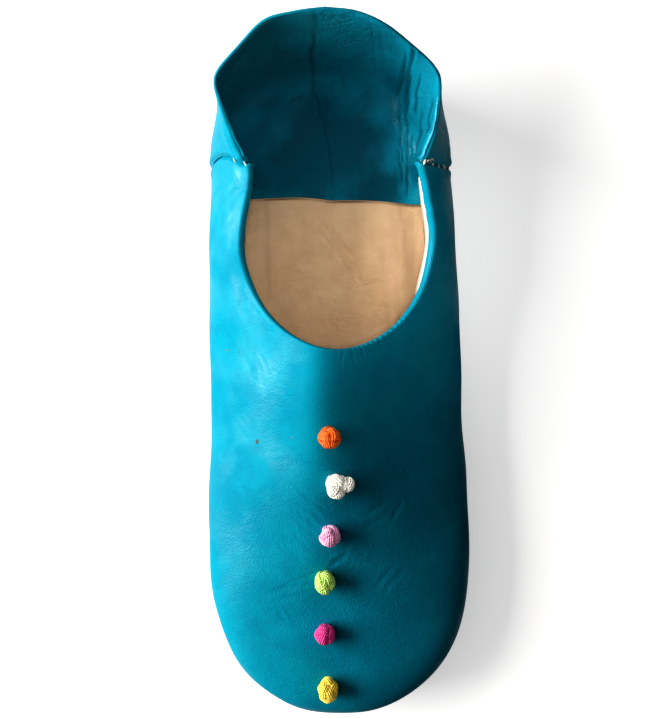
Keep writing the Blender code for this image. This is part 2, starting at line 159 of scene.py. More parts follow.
def plate(name, outline, floor, thickness, material, rows, line=None):
    """A flat leather piece: a profile that runs out over its top, round its rounded
    edge and back under it, carried along the outline and drawn in to the middle line."""
    bend = np.linspace(0.0, math.pi, 9)
    inner = np.linspace(0.0, 1.0, rows)[:-1]
    share = np.concatenate([inner, np.ones(9), inner[::-3]])
    out = np.concatenate([0 * inner, np.sin(bend), 0 * inner[::3]])
    rise = np.concatenate([0 * inner + 1.0, 0.5 + 0.5 * np.cos(bend), 0 * inner[::3]])
    reach = 0.5 * BALL_WIDTH
    middle = np.clip(outline[:, 1], outline[:, 1].min() + reach, outline[:, 1].max() - reach)
    spine = np.stack([np.zeros(len(outline)), middle], axis=1)
    away = outline - spine
    away = away / np.maximum(np.linalg.norm(away, axis=1, keepdims=True), 1e-9)
    rim = 0.5 * thickness * (out - 1.0) * (share == 1.0)
    plan = spine[:, None] + share[None, :, None] * (outline - spine)[:, None]
    plan = plan + away[:, None] * rim[None, :, None]
    height = floor(plan[..., 0], plan[..., 1]) + thickness * rise[None, :]
    grid = np.stack([plan[..., 0], plan[..., 1] + TOE_Y, height], axis=-1)
    return skin(name, grid, material, wrap=True, shade=line and line(plan[..., 0], plan[..., 1]))


def whole_outline(out, at_toe, at_side, at_heel):
    """A closed outline round the last, from the toe by the right side."""
    toe = np.linspace(0.0, TOE_TURN, at_toe)
    side = np.linspace(TOE_TURN, 1.0, at_side)[1:]
    heel = np.linspace(1.0, 2.0, at_heel)[1:]
    x, y = half_outline(np.concatenate([toe, side, heel]), out, out, out)
    right = np.stack([x, y], axis=1)
    return np.concatenate([right, right[-2:0:-1] * np.array([-1.0, 1.0])])


def fill(tree, node, inputs):
    """Gives each named input of a node its value, or joins it to another socket."""
    for key, value in inputs.items():
        if isinstance(value, bpy.types.NodeSocket):
            tree.links.new(value, node.inputs[key])
        else:
            node.inputs[key].default_value = value
    return node


def add(tree, kind, inputs=None, **settings):
    """Adds a shader node with its settings and inputs."""
    new = tree.nodes.new(kind)
    for key, value in settings.items():
        setattr(new, key, value)
    return fill(tree, new, inputs or {})


def calc(operation, *values):
    """One sum on up to three numbers, at least one of them a socket."""
    tree = next(value for value in values if isinstance(value, bpy.types.NodeSocket)).id_data
    return add(tree, "ShaderNodeMath", dict(enumerate(values)), operation=operation).outputs[0]


def times(a, b, c=0.0):
    """a times b, with c added."""
    return calc("MULTIPLY_ADD", a, b, c)


def fade(value, low, high, start=0.0, end=1.0):
    """Maps low to start and high to end, smoothly."""
    return add(value.id_data, "ShaderNodeMapRange", {
        "Value": value, "From Min": low, "From Max": high, "To Min": start, "To Max": end,
    }, interpolation_type="SMOOTHSTEP").outputs["Result"]


def mingle(share, a, b):
    """Mixes two colours by a share."""
    return add(share.id_data, "ShaderNodeMix", {0: share, 6: a, 7: b}, data_type="RGBA").outputs[2]


def cloud(vector, scale, detail, distortion=0.0):
    """Smooth noise from 0 to 1, with so many lumps to the metre."""
    return add(vector.id_data, "ShaderNodeTexNoise", {
        "Vector": vector, "Scale": scale, "Detail": detail, "Distortion": distortion,
    }).outputs["Fac"]


def new_group(name, wanted, made):
    """A shader group with named inputs and outputs, and the place on the piece in it."""
    tree = bpy.data.node_groups.new(name, "ShaderNodeTree")
    for in_out, sockets in (("INPUT", wanted), ("OUTPUT", made)):
        for socket, kind in sockets.items():
            tree.interface.new_socket(socket, in_out=in_out, socket_type="NodeSocket" + kind)
    place = add(tree, "ShaderNodeTexCoord").outputs["Object"]
    return tree, tree.nodes.new("NodeGroupInput").outputs, place


def hide_effect():
    """The look of a skin that was dyed and rubbed: fine pebbled grain, soft crumpling in
    patches with short wrinkles that run one way, cloudy dye, painted shade in the wrinkles'
    valleys, and a polish that varies."""
    numbers = ("Clouding", "Grain", "Wrinkles", "Wrinkle turn", "Roughness", "Patch size", "Polish")
    tree, given, place = new_group(
        "hide_dye_and_shade", {"Colour": "Color", "Deep colour": "Color", **dict.fromkeys(numbers, "Float")},
        {"Colour": "Color", "Roughness": "Float", "Height": "Float", "Polish": "Float"},
    )
    turn = add(tree, "ShaderNodeCombineXYZ", {"Z": given["Wrinkle turn"]}).outputs[0]
    combed = add(tree, "ShaderNodeMapping", {
        "Vector": place, "Rotation": turn, "Scale": (0.45, 1.0, 0.8),
    }).outputs[0]
    pebbles = add(tree, "ShaderNodeTexVoronoi", {"Vector": place, "Scale": 1700.0}).outputs["Distance"]
    fold = calc("ABSOLUTE", calc("SUBTRACT", cloud(combed, 330.0, 3.0, 0.5), 0.5))
    short = fade(fold, 0.0, 0.1, -1.0, 0.0)
    crumple = cloud(combed, 520.0, 2.0, 0.3)
    patches = times(fade(cloud(place, 34.0, 2.0), 0.44, 0.66), 0.85, 0.15)
    lines = times(times(crumple, 1.6, short), patches)
    fine = cloud(place, 1100.0, 2.0)
    height = times(calc("SUBTRACT", fine, pebbles), given["Grain"], times(lines, given["Wrinkles"]))
    broad = cloud(place, given["Patch size"], 3.0)
    murk = times(cloud(place, 170.0, 4.0), 0.4, times(broad, 0.6))
    dark = times(fade(murk, 0.38, 0.62), given["Clouding"])
    colour = mingle(dark, given["Colour"], given["Deep colour"])
    # Painted shade: deeper colour in the valleys of the short wrinkles
    sunk = times(times(times(short, patches), -0.35), given["Clouding"])
    colour = mingle(sunk, colour, given["Deep colour"])
    handled = cloud(place, 45.0, 4.0)
    rough = calc("ADD", times(handled, 0.3, -0.15), times(fine, 0.06, given["Roughness"]))
    polish = times(fade(handled, 0.62, 0.4), given["Polish"])
    add(tree, "NodeGroupOutput", {"Colour": colour, "Roughness": rough, "Height": height, "Polish": polish})
    return tree


hide_dye_and_shade = hide_effect()


def spot_effect():
    """A ragged spot: 1 at its centre, 0 past its radius, with an edge broken by noise."""
    tree, given, place = new_group(
        "ragged_spot", {"Centre": "Vector", "Stretch": "Vector", "Softness": "Float"}, {"Mask": "Float"}
    )
    away = add(tree, "ShaderNodeVectorMath", {0: place, 1: given["Centre"]}, operation="SUBTRACT").outputs[0]
    away = add(tree, "ShaderNodeVectorMath", {0: away, 1: given["Stretch"]}, operation="DIVIDE").outputs[0]
    far = add(tree, "ShaderNodeVectorMath", {0: away}, operation="LENGTH").outputs["Value"]
    ragged = times(cloud(away, 2.2, 4.0), 1.3, calc("SUBTRACT", far, 0.65))
    add(tree, "NodeGroupOutput", {
        "Mask": fade(ragged, calc("SUBTRACT", 1.0, given["Softness"]), 1.0, 1.0, 0.0),
    })
    return tree


ragged_spot = spot_effect()


def new_material(name):
    """A material, its tree and its shader."""
    material = bpy.data.materials.new(name)
    material.use_nodes = True
    return material, material.node_tree, material.node_tree.nodes["Principled BSDF"]


def leather(name, gloss, spots=(), shines=(), **look):
    """A leather: the dyed hide effect, with its bump in millimetres and painted shade in its
    wrinkles, spots of colour for stains, painted shade and painted light, each with a centre and
    stretch in millimetres, a softness, a strength and a colour, spots that hands have polished,
    and painted shade where the mesh holds it."""
    material, tree, shader = new_material(name)
    hide = add(tree, "ShaderNodeGroup", {
        key.replace("_", " ").capitalize(): value for key, value in look.items()
    }, node_tree=hide_dye_and_shade)
    colour = hide.outputs["Colour"]
    polish = hide.outputs["Polish"]
    # Tinted spots paint stains, and also painted shade and painted light; untinted ones raise the polish
    for centre, stretch, softness, strength, *tint in (*spots, *shines):
        spot = add(tree, "ShaderNodeGroup", {
            "Centre": [MM * v for v in centre], "Stretch": [MM * v for v in stretch], "Softness": softness,
        }, node_tree=ragged_spot)
        share = times(spot.outputs["Mask"], strength)
        if tint:
            colour = mingle(share, colour, (*tint[0], 1.0))
        else:
            polish = calc("MAXIMUM", polish, share)
    # Painted shade: the colour darkens to a deep tone where the mesh's shade attribute is set, as along the
    # sock's edge and in the heel lining's creases
    painted_darkening = add(tree, "ShaderNodeAttribute", attribute_name="painted_shade").outputs["Fac"]
    colour = mingle(painted_darkening, colour, [0.16 * v for v in look["deep_colour"][:3]] + [1.0])
    bump = add(tree, "ShaderNodeBump", {"Height": hide.outputs["Height"], "Distance": MM, "Strength": 1.0})
    fill(tree, shader, {
        "Base Color": colour, "Roughness": hide.outputs["Roughness"], "Coat Weight": polish,
        "Normal": bump.outputs["Normal"], "Coat Normal": bump.outputs["Normal"],
        "Specular IOR Level": gloss, "Coat Roughness": 0.3,
    })
    return material


sole_hide = leather(
    "sole_hide", 0.3, colour=(0.4, 0.25, 0.14, 1.0), deep_colour=(0.22, 0.125, 0.065, 1.0),
    clouding=0.9, grain=0.05, wrinkles=0.05, wrinkle_turn=0.4, roughness=0.7, patch_size=22.0,
)
sole_edge = whole_outline(0.0, 60, 60, 60)
outsole = plate("outsole_leather", sole_edge, lambda x, y: sole_lift(y), OUTSOLE_THICKNESS, sole_hide, 24)
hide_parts("outsole")

# Insole
# Undyed tan leather, glued over the sole. It rides up a little against the left wall,
# and its surface shows soft dents and short creases from handling.
CLEARANCE = 0.3 * MM
FEATHER_INSET = 3.5 * MM
INSOLE_THICKNESS = 2.0 * MM
INSOLE_TOP = OUTSOLE_THICKNESS + CLEARANCE + INSOLE_THICKNESS
# Creases hold across as a share of half the ball's width and along as one of the sole's
# length, for both ends, then bow, number of lines, their spacing, width and depth in
# millimetres
INSOLE_CREASES = (
    (-0.08, 0.76, 0.06, 0.716, 0.5, 3, 2.0, 0.5, 0.3),
    (0.0, 0.738, 0.18, 0.7, -0.6, 4, 1.9, 0.5, 0.3),
    (0.12, 0.7, 0.24, 0.66, 0.5, 3, 2.0, 0.5, 0.2),
    (-0.3, 0.64, 0.06, 0.634, 1.2, 2, 3.0, 0.8, 0.16),
    (-0.4, 0.7, -0.22, 0.672, 0.8, 2, 3.2, 0.7, 0.14),
    (0.52, 0.64, 0.66, 0.662, 0.5, 3, 1.8, 0.5, 0.2),
    (-0.7, 0.76, -0.6, 0.7, 0.6, 3, 2.0, 0.6, 0.22),
    (0.3, 0.77, 0.52, 0.745, 0.6, 2, 2.6, 0.7, 0.12),
    (-0.55, 0.78, -0.2, 0.77, 0.8, 2, 2.6, 0.7, 0.12),
)


def relief(x, y, table, seed):
    """Height of a set of creases. Across each line the skin dips as a bell and swells
    beside it, along it the dip fades out at both ends, and the line bows and wavers."""
    chance = np.random.default_rng(seed)
    total = np.zeros_like(x)
    for x0, y0, x1, y1, bow, count, gap, width, depth in table:
        start = np.array([x0 * 0.5 * BALL_WIDTH, y0 * SOLE_LENGTH])
        end = np.array([x1 * 0.5 * BALL_WIDTH, y1 * SOLE_LENGTH])
        length = np.linalg.norm(end - start)
        ahead = (end - start) / length
        for line in range(count):
            shift, slide, stretch, phase, tilt = chance.uniform(-1.0, 1.0, 5) * (count > 1)
            aside = ((line - 0.5 * (count - 1)) * gap + 0.45 * gap * shift) * MM
            reach = length * (1.0 + 0.3 * stretch)
            s = ((x - start[0]) * ahead[0] + (y - start[1]) * ahead[1] - 0.18 * length * slide) / reach
            inside = np.clip(s, 0.0, 1.0)
            waver = 0.3 * np.sin(7.0 * inside + 3.0 * phase) + 0.16 * np.sin(19.0 * inside + 5.0 * phase)
            path = (4.0 * bow * inside * (1.0 - inside) + waver + 0.5 * gap * tilt * (inside - 0.5)) * MM
            wide = width * (0.75 + 0.5 * np.sin(math.pi * inside) * (1.0 + 0.3 * shift))
            d = ((y - start[1]) * ahead[0] - (x - start[0]) * ahead[1] - aside - path) / (wide * MM)
            taper = ease(s / 0.3) * ease((1.0 - s) / 0.3) * (1.0 + 0.4 * shift)
            total = total - depth * MM * taper * (bell(d) - 0.3 * bell(np.abs(d) - 1.9))
    return total


def insole_floor(x, y):
    """Underside of the insole: the outsole's top, raised beside the walls, with a low
    ridge where the left side starts to rise, slow swells and a few creases."""
    along = y / SOLE_LENGTH
    left = ease((-x - 24.0 * MM) / (9.0 * MM)) * between(along, 0.3, 0.2, 0.95, 0.15)
    right = ease((x - 31.0 * MM) / (6.0 * MM)) * between(along, 0.35, 0.2, 0.9, 0.15)
    swell = np.sin(95.0 * x + 2.0) * np.sin(60.0 * y + 0.4) + 0.5 * np.sin(170.0 * x + 110.0 * y)
    line = x + 25.6 * MM + 1.2 * MM * np.sin(40.0 * y)
    groove = 0.25 * bell((line + 3.2 * MM) / (1.8 * MM)) - 0.2 * bell(line / (2.0 * MM))
    groove = groove * between(along, 0.44, 0.1, 0.83, 0.05)
    height = 1.1 * left + 1.7 * right + 0.1 * (swell + 1.5) + groove
    return sole_lift(y) + OUTSOLE_THICKNESS + CLEARANCE + MM * height + relief(x, y, INSOLE_CREASES, 2)


# The sock's front edge, with a thin dark line of painted shadow on the insole just ahead of it
SOCK_EDGE_ACROSS = (-0.8, -0.7, -0.48, -0.25, -0.09, 0.0, 0.09, 0.28, 0.48, 0.72, 0.8)
SOCK_EDGE_ALONG = (0.8049, 0.8059, 0.8073, 0.8069, 0.8033, 0.8008, 0.8008, 0.8, 0.7971, 0.7914, 0.7906)


def sock_edge_shadow(x, y):
    """A painted shadow just ahead of the sock's edge: a dark line, a bell by the distance from it."""
    edge = SOLE_LENGTH * through(SOCK_EDGE_ACROSS, SOCK_EDGE_ALONG, x / (0.5 * BALL_WIDTH))
    return (0.62 + 0.25 * np.sin(240.0 * x)) * bell((y - edge + 0.45 * MM) / (0.5 * MM))


# Spots: painted shade over the insole's right part, painted shade along the groove by the left wall, and a
# darker, redder tone towards the front
tan_hide = leather("tan_hide", 0.25, (
    ((31.0, 25.0, 8.0), (14.0, 60.0, 12.0), 1.0, 0.9, (0.45, 0.295, 0.178)),
    ((-26.0, 52.0, 8.0), (2.2, 26.0, 8.0), 1.0, 0.25, (0.36, 0.21, 0.11)),
    ((-6.0, 16.0, 8.0), (36.0, 14.0, 8.0), 1.0, 0.2, (0.74, 0.4, 0.22)),
), colour=(0.8, 0.555, 0.355, 1.0), deep_colour=(0.64, 0.4, 0.23, 1.0), clouding=0.5,
    grain=0.12, wrinkles=0.2, wrinkle_turn=0.9, roughness=0.68, patch_size=30.0)
insole_edge = whole_outline(-FEATHER_INSET - CLEARANCE, 50, 330, 30)
to_the_wall = between(insole_edge[:, 1], 140.0 * MM, 25.0 * MM, 206.0 * MM, 16.0 * MM)
insole_edge[:, 0] += 1.9 * MM * to_the_wall * (insole_edge[:, 0] > 20.0 * MM)
# The insole's mesh carries the painted shadow along the sock's front edge
insole = plate("insole_leather", insole_edge, insole_floor, INSOLE_THICKNESS, tan_hide, 62, sock_edge_shadow)
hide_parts("insole")

# Upper
# One soft goatskin, dyed teal, for the vamp and both sides. It is sewn to the sole inside
# out and turned, so it bellies over the sole's edge, and its top edge is folded in.
BELLY_HEIGHT = 15.0 * MM
INSTEP_HEIGHT = 52.5 * MM
THROAT_WIDTH = 70.0 * MM
THROAT_DEPTH = 40.7 * MM
THROAT_SHIFT = 1.5 * MM
THROAT_CENTRE = 0.724 * SOLE_LENGTH
SEAM_OPENING = 62.0 * MM
SKIN = 1.0 * MM
FOLD_WIDTH = 6.0 * MM
TOE_OVERHANG = 4.5 * MM
HEEL_OVERHANG = 3.0 * MM
RIDGE_SOFTNESS = 0.22
CROWN_POWER = 2.1
BELLY_POWER = 2.0 / 2.5
LAST_RISE = (0.42, 0.45, 0.53, 0.63, 0.74, 0.85, 1.0, 1.03, 1.03, 0.98, 0.98)
LAST_PEAK = (0.0, 0.1, 0.26, 0.42, 0.6, 0.74, 0.8, 0.42, 0.0, 0.0, 0.0)
# How far the ridge line lies to the left of the middle, by the same shares, in millimetres
RIDGE_ASIDE = (6.0, 6.0, 8.0, 9.5, 9.5, 8.0, 7.0, 6.0, 6.0, 6.0, 6.0)
# How far the opening has stretched on each side, by its distance from the toe
SLACK_ALONG = (0.14, 0.15, 0.165, 0.177, 0.187, 0.194, 0.201, 0.2081)
SLACK_RIGHT = (0.0, 0.0005, 0.0011, 0.0016, 0.0023, 0.0028, 0.0029, 0.0016)
SLACK_LEFT = (0.0, 0.0003, 0.001, 0.001, 0.0003, 0.0, 0.0, 0.0)


def side_overhang(y):
    """How far the belly stands past the sole's edge: more at the waist than the ball."""
    return (5.0 + 3.5 * ease((y / SOLE_LENGTH - 0.24) / 0.4)) * MM


def belly_line(turn):
    """Right half of the upper's widest line round the shoe, in plan."""
    return half_outline(turn, side_overhang, TOE_OVERHANG, HEEL_OVERHANG, BELLY_POWER)


def vamp_height(x, y):
    """Height over a plan point: the belly line is level 1 of a superellipse, the ridge
    level 0, and the section between mixes an arch with a soft-topped tent."""
    along = y / SOLE_LENGTH
    power = TOE_SQUARENESS
    width = 0.5 * BALL_WIDTH * through(LAST_ALONG, LAST_WIDTH, along) + side_overhang(y)
    ahead = np.clip((TOE_CAP_LENGTH - y) / (TOE_CAP_LENGTH + TOE_OVERHANG), 0.0, 1.0)
    plain = np.clip(np.abs(x / width) ** power + ahead**power, 0.0, 1.0) ** (2.0 / power)
    leaning = x + through(LAST_ALONG, RIDGE_ASIDE, along) * MM * (1.0 - plain)
    level = np.clip(np.abs(leaning / width) ** power + ahead**power, 0.0, 1.0) ** (1.0 / power)
    arch = np.clip(1.0 - level**CROWN_POWER, 0.0, 1.0) ** (1.0 / CROWN_POWER)
    soft = RIDGE_SOFTNESS
    tent = 1.0 - (np.hypot(level, soft) - soft) / (math.hypot(1.0, soft) - soft)
    peak = through(LAST_ALONG, LAST_PEAK, along)
    rise = (INSTEP_HEIGHT - BELLY_HEIGHT) * through(LAST_ALONG, LAST_RISE, along)
    return BELLY_HEIGHT + sole_lift(y) + rise * (peak * tent + (1.0 - peak) * arch)


def lower_wall(turn, side, t, lift):
    """The wall under its widest line, t from -1 to 0: a quarter of an ellipse that
    leaves the sole flat and ends upright."""
    foot_x, foot_y = half_outline(turn, -FEATHER_INSET, -FEATHER_INSET, -FEATHER_INSET)
    wide_x, wide_y = belly_line(turn)
    angle = 0.5 * math.pi * (np.clip(t, -1.0, 0.0) + 1.0)
    x = foot_x + (wide_x - foot_x) * np.sin(angle)
    y = foot_y + (wide_y - foot_y) * np.sin(angle)
    low = OUTSOLE_THICKNESS + CLEARANCE + lift
    return side * x, y, sole_lift(y) + BELLY_HEIGHT - (BELLY_HEIGHT - low) * np.cos(angle)


def joined(t, low, high):
    """Points of the lower wall where t is not above 0, and of the upper part elsewhere."""
    pairs = [np.where(t <= 0.0, a, b) for a, b in zip(low, high)]
    return np.stack(np.broadcast_arrays(*pairs), axis=-1)


def by_side(side, along, right, left, x):
    """A smooth curve through one table on the right and through another on the left."""
    return np.where(side > 0.0, through(along, right, x), through(along, left, x))


def upper_face(turn, side, t):
    """Outer face of the upper, t from -1 at the sole through 0 at the belly to 1 at the
    opening, whose point lies on a ray from the throat's middle, or level behind it."""
    wide_x, wide_y = belly_line(turn)
    wide_x = side * wide_x
    dy = np.minimum(wide_y - THROAT_CENTRE, 0.0)
    scale = 1.0 / np.hypot(wide_x / (0.5 * THROAT_WIDTH), dy / THROAT_DEPTH)
    behind = np.clip((wide_y - THROAT_CENTRE) / (SEAM_FROM_TOE - THROAT_CENTRE), 0.0, 1.0)
    half = 0.5 * (THROAT_WIDTH + (SEAM_OPENING - THROAT_WIDTH) * ease(behind))
    back = wide_y > THROAT_CENTRE
    top_x = np.where(back, side * half, wide_x * scale) + THROAT_SHIFT * (1.0 - 0.5 * behind)
    top_y = np.where(back, wide_y, THROAT_CENTRE + dy * scale)
    top_x = top_x + side * by_side(side, SLACK_ALONG, SLACK_RIGHT, SLACK_LEFT, top_y)
    way = np.clip(t, 0.0, 1.0) ** 2
    x = wide_x + (top_x - wide_x) * way
    y = wide_y + (top_y - wide_y) * way
    return joined(t, lower_wall(turn, side, t, 0.0), (x, y, vamp_height(x, y)))


def even_rows(face, turns, sides, count, trim):
    """Points of a face at even steps of length from the sole to a trim short of the top."""
    t = np.linspace(-1.0, 1.0, 400)[None, :]
    fine = face(turns[:, None], sides[:, None], t)
    run = np.linalg.norm(np.diff(fine, axis=1), axis=2)
    run = np.concatenate([np.zeros((len(turns), 1)), np.cumsum(run, axis=1)], axis=1)
    wanted = np.linspace(0.0, 1.0, count)[None, :] * (run[:, -1:] - np.reshape(trim, (-1, 1)))
    rows = np.array([np.interp(w, r, t[0]) for w, r in zip(wanted, run)])
    return face(turns[:, None], sides[:, None], rows), wanted


def unit(vectors):
    """The same directions with length 1."""
    return vectors / np.maximum(np.linalg.norm(vectors, axis=-1, keepdims=True), 1e-12)


def outward(grid):
    """Unit normals of a grid by its differences both ways, made to point outwards, and
    the direction up its rows."""
    up = np.gradient(grid, axis=1)
    normal = unit(np.cross(np.gradient(grid, axis=0), up))
    third = grid.shape[1] // 3
    middle = grid[:, third] - np.array([0.0, 0.5 * SOLE_LENGTH, BELLY_HEIGHT])
    return normal * np.sign((normal[:, third] * middle).sum(1).mean()), unit(up)


UPPER_CREASES = (
    (-0.62, 0.394, -0.38, 0.401, 0.8, 2, 2.6, 0.6, 0.09),
    (-0.42, 0.401, -0.13, 0.389, -0.8, 2, 2.8, 0.6, 0.12),
    (-0.42, 0.34, -0.11, 0.294, 0.6, 4, 2.0, 0.4, 0.26),
    (-0.4, 0.312, -0.17, 0.272, 0.8, 3, 1.9, 0.38, 0.22),
    (-0.53, 0.286, -0.32, 0.244, 0.5, 4, 2.2, 0.4, 0.18),
    (-0.66, 0.24, -0.48, 0.19, 0.6, 2, 3.0, 0.55, 0.09),
    (-0.11, 0.22, 0.08, 0.252, -0.5, 1, 2.0, 0.7, 0.32),
    (-0.05, 0.243, 0.1, 0.262, -0.4, 1, 2.0, 0.6, 0.16),
    (-0.47, 0.186, -0.19, 0.216, -0.4, 2, 2.8, 0.45, 0.18),
    (-0.62, 0.176, -0.23, 0.202, -0.4, 3, 3.0, 0.45, 0.14),
    (-0.54, 0.17, -0.45, 0.138, 0.3, 3, 2.0, 0.5, 0.1),
    (-0.42, 0.16, -0.33, 0.118, 0.3, 2, 2.0, 0.5, 0.08),
    (0.18, 0.285, 0.47, 0.321, 0.8, 2, 3.0, 0.8, 0.16),
    (0.4, 0.285, 0.54, 0.325, 0.3, 2, 2.2, 0.6, 0.12),
    (0.45, 0.385, 0.6, 0.35, 0.4, 2, 2.2, 0.8, 0.12),
    (0.3, 0.18, 0.52, 0.222, 0.5, 2, 3.0, 0.8, 0.12),
    (-0.02, 0.33, 0.2, 0.3, 0.5, 2, 3.0, 0.7, 0.1),
    (-0.99, 0.75, -0.74, 0.779, 0.5, 3, 2.2, 0.7, 0.4),
    (-0.95, 0.785, -0.72, 0.82, 0.4, 3, 2.2, 0.7, 0.42),
    (-0.93, 0.722, -0.76, 0.744, 0.3, 2, 2.4, 0.6, 0.24),
    (-0.83, 0.85, -0.76, 0.806, 0.3, 1, 2.4, 0.7, -0.25),
    (-0.78, 0.66, -0.73, 0.6, 0.6, 1, 2.0, 1.0, 0.35),
    (0.98, 0.76, 0.78, 0.8, 0.5, 3, 2.8, 0.9, 0.2),
    (-0.92, 0.6, -0.8, 0.54, 0.6, 3, 2.2, 0.7, 0.1),
    (-0.7, 0.56, -0.62, 0.5, 0.4, 4, 2.0, 0.6, 0.13),
    (-0.86, 0.47, -0.72, 0.43, 0.4, 3, 2.2, 0.6, 0.1),
)
# Gathers where the folded edge is drawn round the curve of the throat
GATHERS = (
    (-0.69, 0.632, -0.61, 0.612, 0.0, 1, 1.0, 0.4, 0.2),
    (-0.64, 0.62, -0.545, 0.598, 0.0, 1, 1.0, 0.4, 0.34),
    (-0.59, 0.604, -0.48, 0.58, 0.0, 1, 1.0, 0.45, 0.34),
    (0.01, 0.566, 0.018, 0.533, 0.0, 1, 1.0, 0.5, 0.08),
    (0.056, 0.566, 0.044, 0.525, 0.0, 1, 1.0, 0.55, 0.13),
    (0.118, 0.566, 0.16, 0.532, 0.0, 1, 1.0, 0.5, 0.1),
    (0.19, 0.567, 0.245, 0.54, 0.0, 1, 1.0, 0.45, 0.12),
    (0.33, 0.578, 0.4, 0.552, 0.0, 1, 1.0, 0.45, 0.12),
    (0.56, 0.612, 0.66, 0.594, 0.0, 1, 1.0, 0.45, 0.12),
)
PLEAT_STEP = 3.1 * MM
RIPPLE_STEP = 2.3 * MM
# How far each side seam strays along the shoe from a straight line, by height as a share
SEAM_RISE = 29.0 * MM
SEAM_SHARE = (0.0, 0.24, 0.52, 0.76, 0.9, 1.0)
LEFT_SEAM = (0.0, 0.4, 1.9, 2.1, 0.7, -1.8)
RIGHT_SEAM = (-1.0, -2.2, -2.4, -1.8, -1.7, -1.8)


def slow_swells(x, y, z):
    """The unevenness of a soft skin: three crossing waves 15 to 50 mm long."""
    return 0.13 * MM * (
        np.sin(130.0 * x + 70.0 * y + 1.0) + np.sin(-90.0 * x + 190.0 * y + 60.0 * z)
        + 0.8 * np.sin(230.0 * x - 60.0 * y + 150.0 * z + 2.0)
    )


def seam_shape(sides, grid):
    """At a side seam both edges turn in, so the skin sinks in a bell by its distance
    from the seam, and the skin near it follows the seam's bend."""
    away = np.abs(grid[..., 1] - SEAM_FROM_TOE)
    height = (grid[..., 2] - BELLY_HEIGHT) / SEAM_RISE
    bend = by_side(sides[:, None], SEAM_SHARE, RIGHT_SEAM, LEFT_SEAM, height)
    bend = bend * MM * ease((height + 0.35) / 0.35)
    lump = 1.0 + 0.35 * np.sin(2100.0 * grid[..., 2])
    swell = 0.25 * MM * lump * bell((away - 2.2 * MM) / (1.2 * MM))
    return swell - 0.8 * MM * bell(away / (0.9 * MM)), bend * bell(away / (13.0 * MM))


def run_along(line):
    """Length along a line of points, from its start."""
    return np.concatenate([[0.0], np.cumsum(np.linalg.norm(np.diff(line, axis=0), axis=1))])


def foot_pleats(grid):
    """Small gathers where the skin was drawn in to the sole, 3 mm apart and fading
    out above the sole's edge."""
    run = run_along(grid[:, grid.shape[1] // 6])[:, None]
    wave = np.sin(2.0 * math.pi * run / PLEAT_STEP + 1.4 * np.sin(run / (6.0 * MM)))
    return 0.2 * MM * wave * between(grid[..., 2], 4.0 * MM, 2.0 * MM, 11.0 * MM, 6.0 * MM)


def walled_shell(name, face, turns, sides, count, proud, roll, fold_width, marks, nicks, material):
    """A closed shell of soft leather: the outer face from the sole up, half a blunt
    oval over the folded edge, then the fold's inner side and the inner face back down."""
    outer, run = even_rows(face, turns, sides, count, 0.8 * roll)
    normal, up = outward(outer)
    sink, bend = seam_shape(sides, outer)
    height = (marks(outer) + foot_pleats(outer)) * ease(run / (3.0 * MM)) + proud + sink
    outer = outer + normal * height[..., None]
    outer[..., 1] += bend
    edge = run[:, -1:] - run
    wide = roll[:, None]
    fold = 2.0 * wide + 0.2 * np.minimum(edge, fold_width - 1.0 * MM) - SKIN
    inward = SKIN + fold * ease((fold_width + 2.0 * MM - edge) / (2.5 * MM))
    inner = outer - normal * inward[..., None]
    rim = run_along(outer[:, -1])
    ripple = nicks * np.sin(2.0 * math.pi * rim / RIPPLE_STEP + 1.5 * np.sin(rim / (4.1 * MM)))
    ripple = (ripple + 0.04 * np.sin(rim / (3.3 * MM)))[:, None, None]
    angle = np.linspace(0.0, math.pi, 16)[1:-1][None, :, None]
    middle = outer[:, -1:] - normal[:, -1:] * wide[..., None]
    sideways = np.sign(np.cos(angle)) * np.abs(np.cos(angle)) ** 0.85 * (1.0 + ripple * np.sin(angle))
    upward = np.sin(angle) ** 0.85 * (1.0 + ripple)
    over = middle + wide[..., None] * (sideways * normal[:, -1:] + 0.8 * upward * up[:, -1:])
    thin = np.linspace(count - 1, 0, count // 2).astype(int)
    grid = np.concatenate([outer, over, inner[:, thin], outer[:, :1]], axis=1)
    grid[..., 1] += TOE_Y
    piece = skin(name, grid, material)
    close_ends(piece)
    return piece, outer, normal, middle[:, 0]


def close_ends(piece):
    """Closes the two open ends of a shell with faces between its sides."""
    shape = bmesh.new()
    shape.from_mesh(piece.data)
    open_edges = [edge for edge in shape.edges if edge.is_boundary]
    bmesh.ops.triangle_fill(shape, edges=open_edges, use_beauty=True)
    bmesh.ops.recalc_face_normals(shape, faces=shape.faces)
    shape.to_mesh(piece.data)
    shape.free()
    piece.data.shade_smooth()


TEAL = dict(
    colour=(0.002, 0.305, 0.415, 1.0), deep_colour=(0.001, 0.225, 0.335, 1.0), clouding=0.6,
    grain=0.075, wrinkles=0.04, wrinkle_turn=0.7, roughness=0.5, patch_size=30.0, polish=0.22,
)
# A lighter, milky teal, painted on the vamp's lit left side as its highlight
PAINTED_HIGHLIGHT = (0.05, 0.4, 0.46)
STAIN = (0.2, 0.16, 0.1)
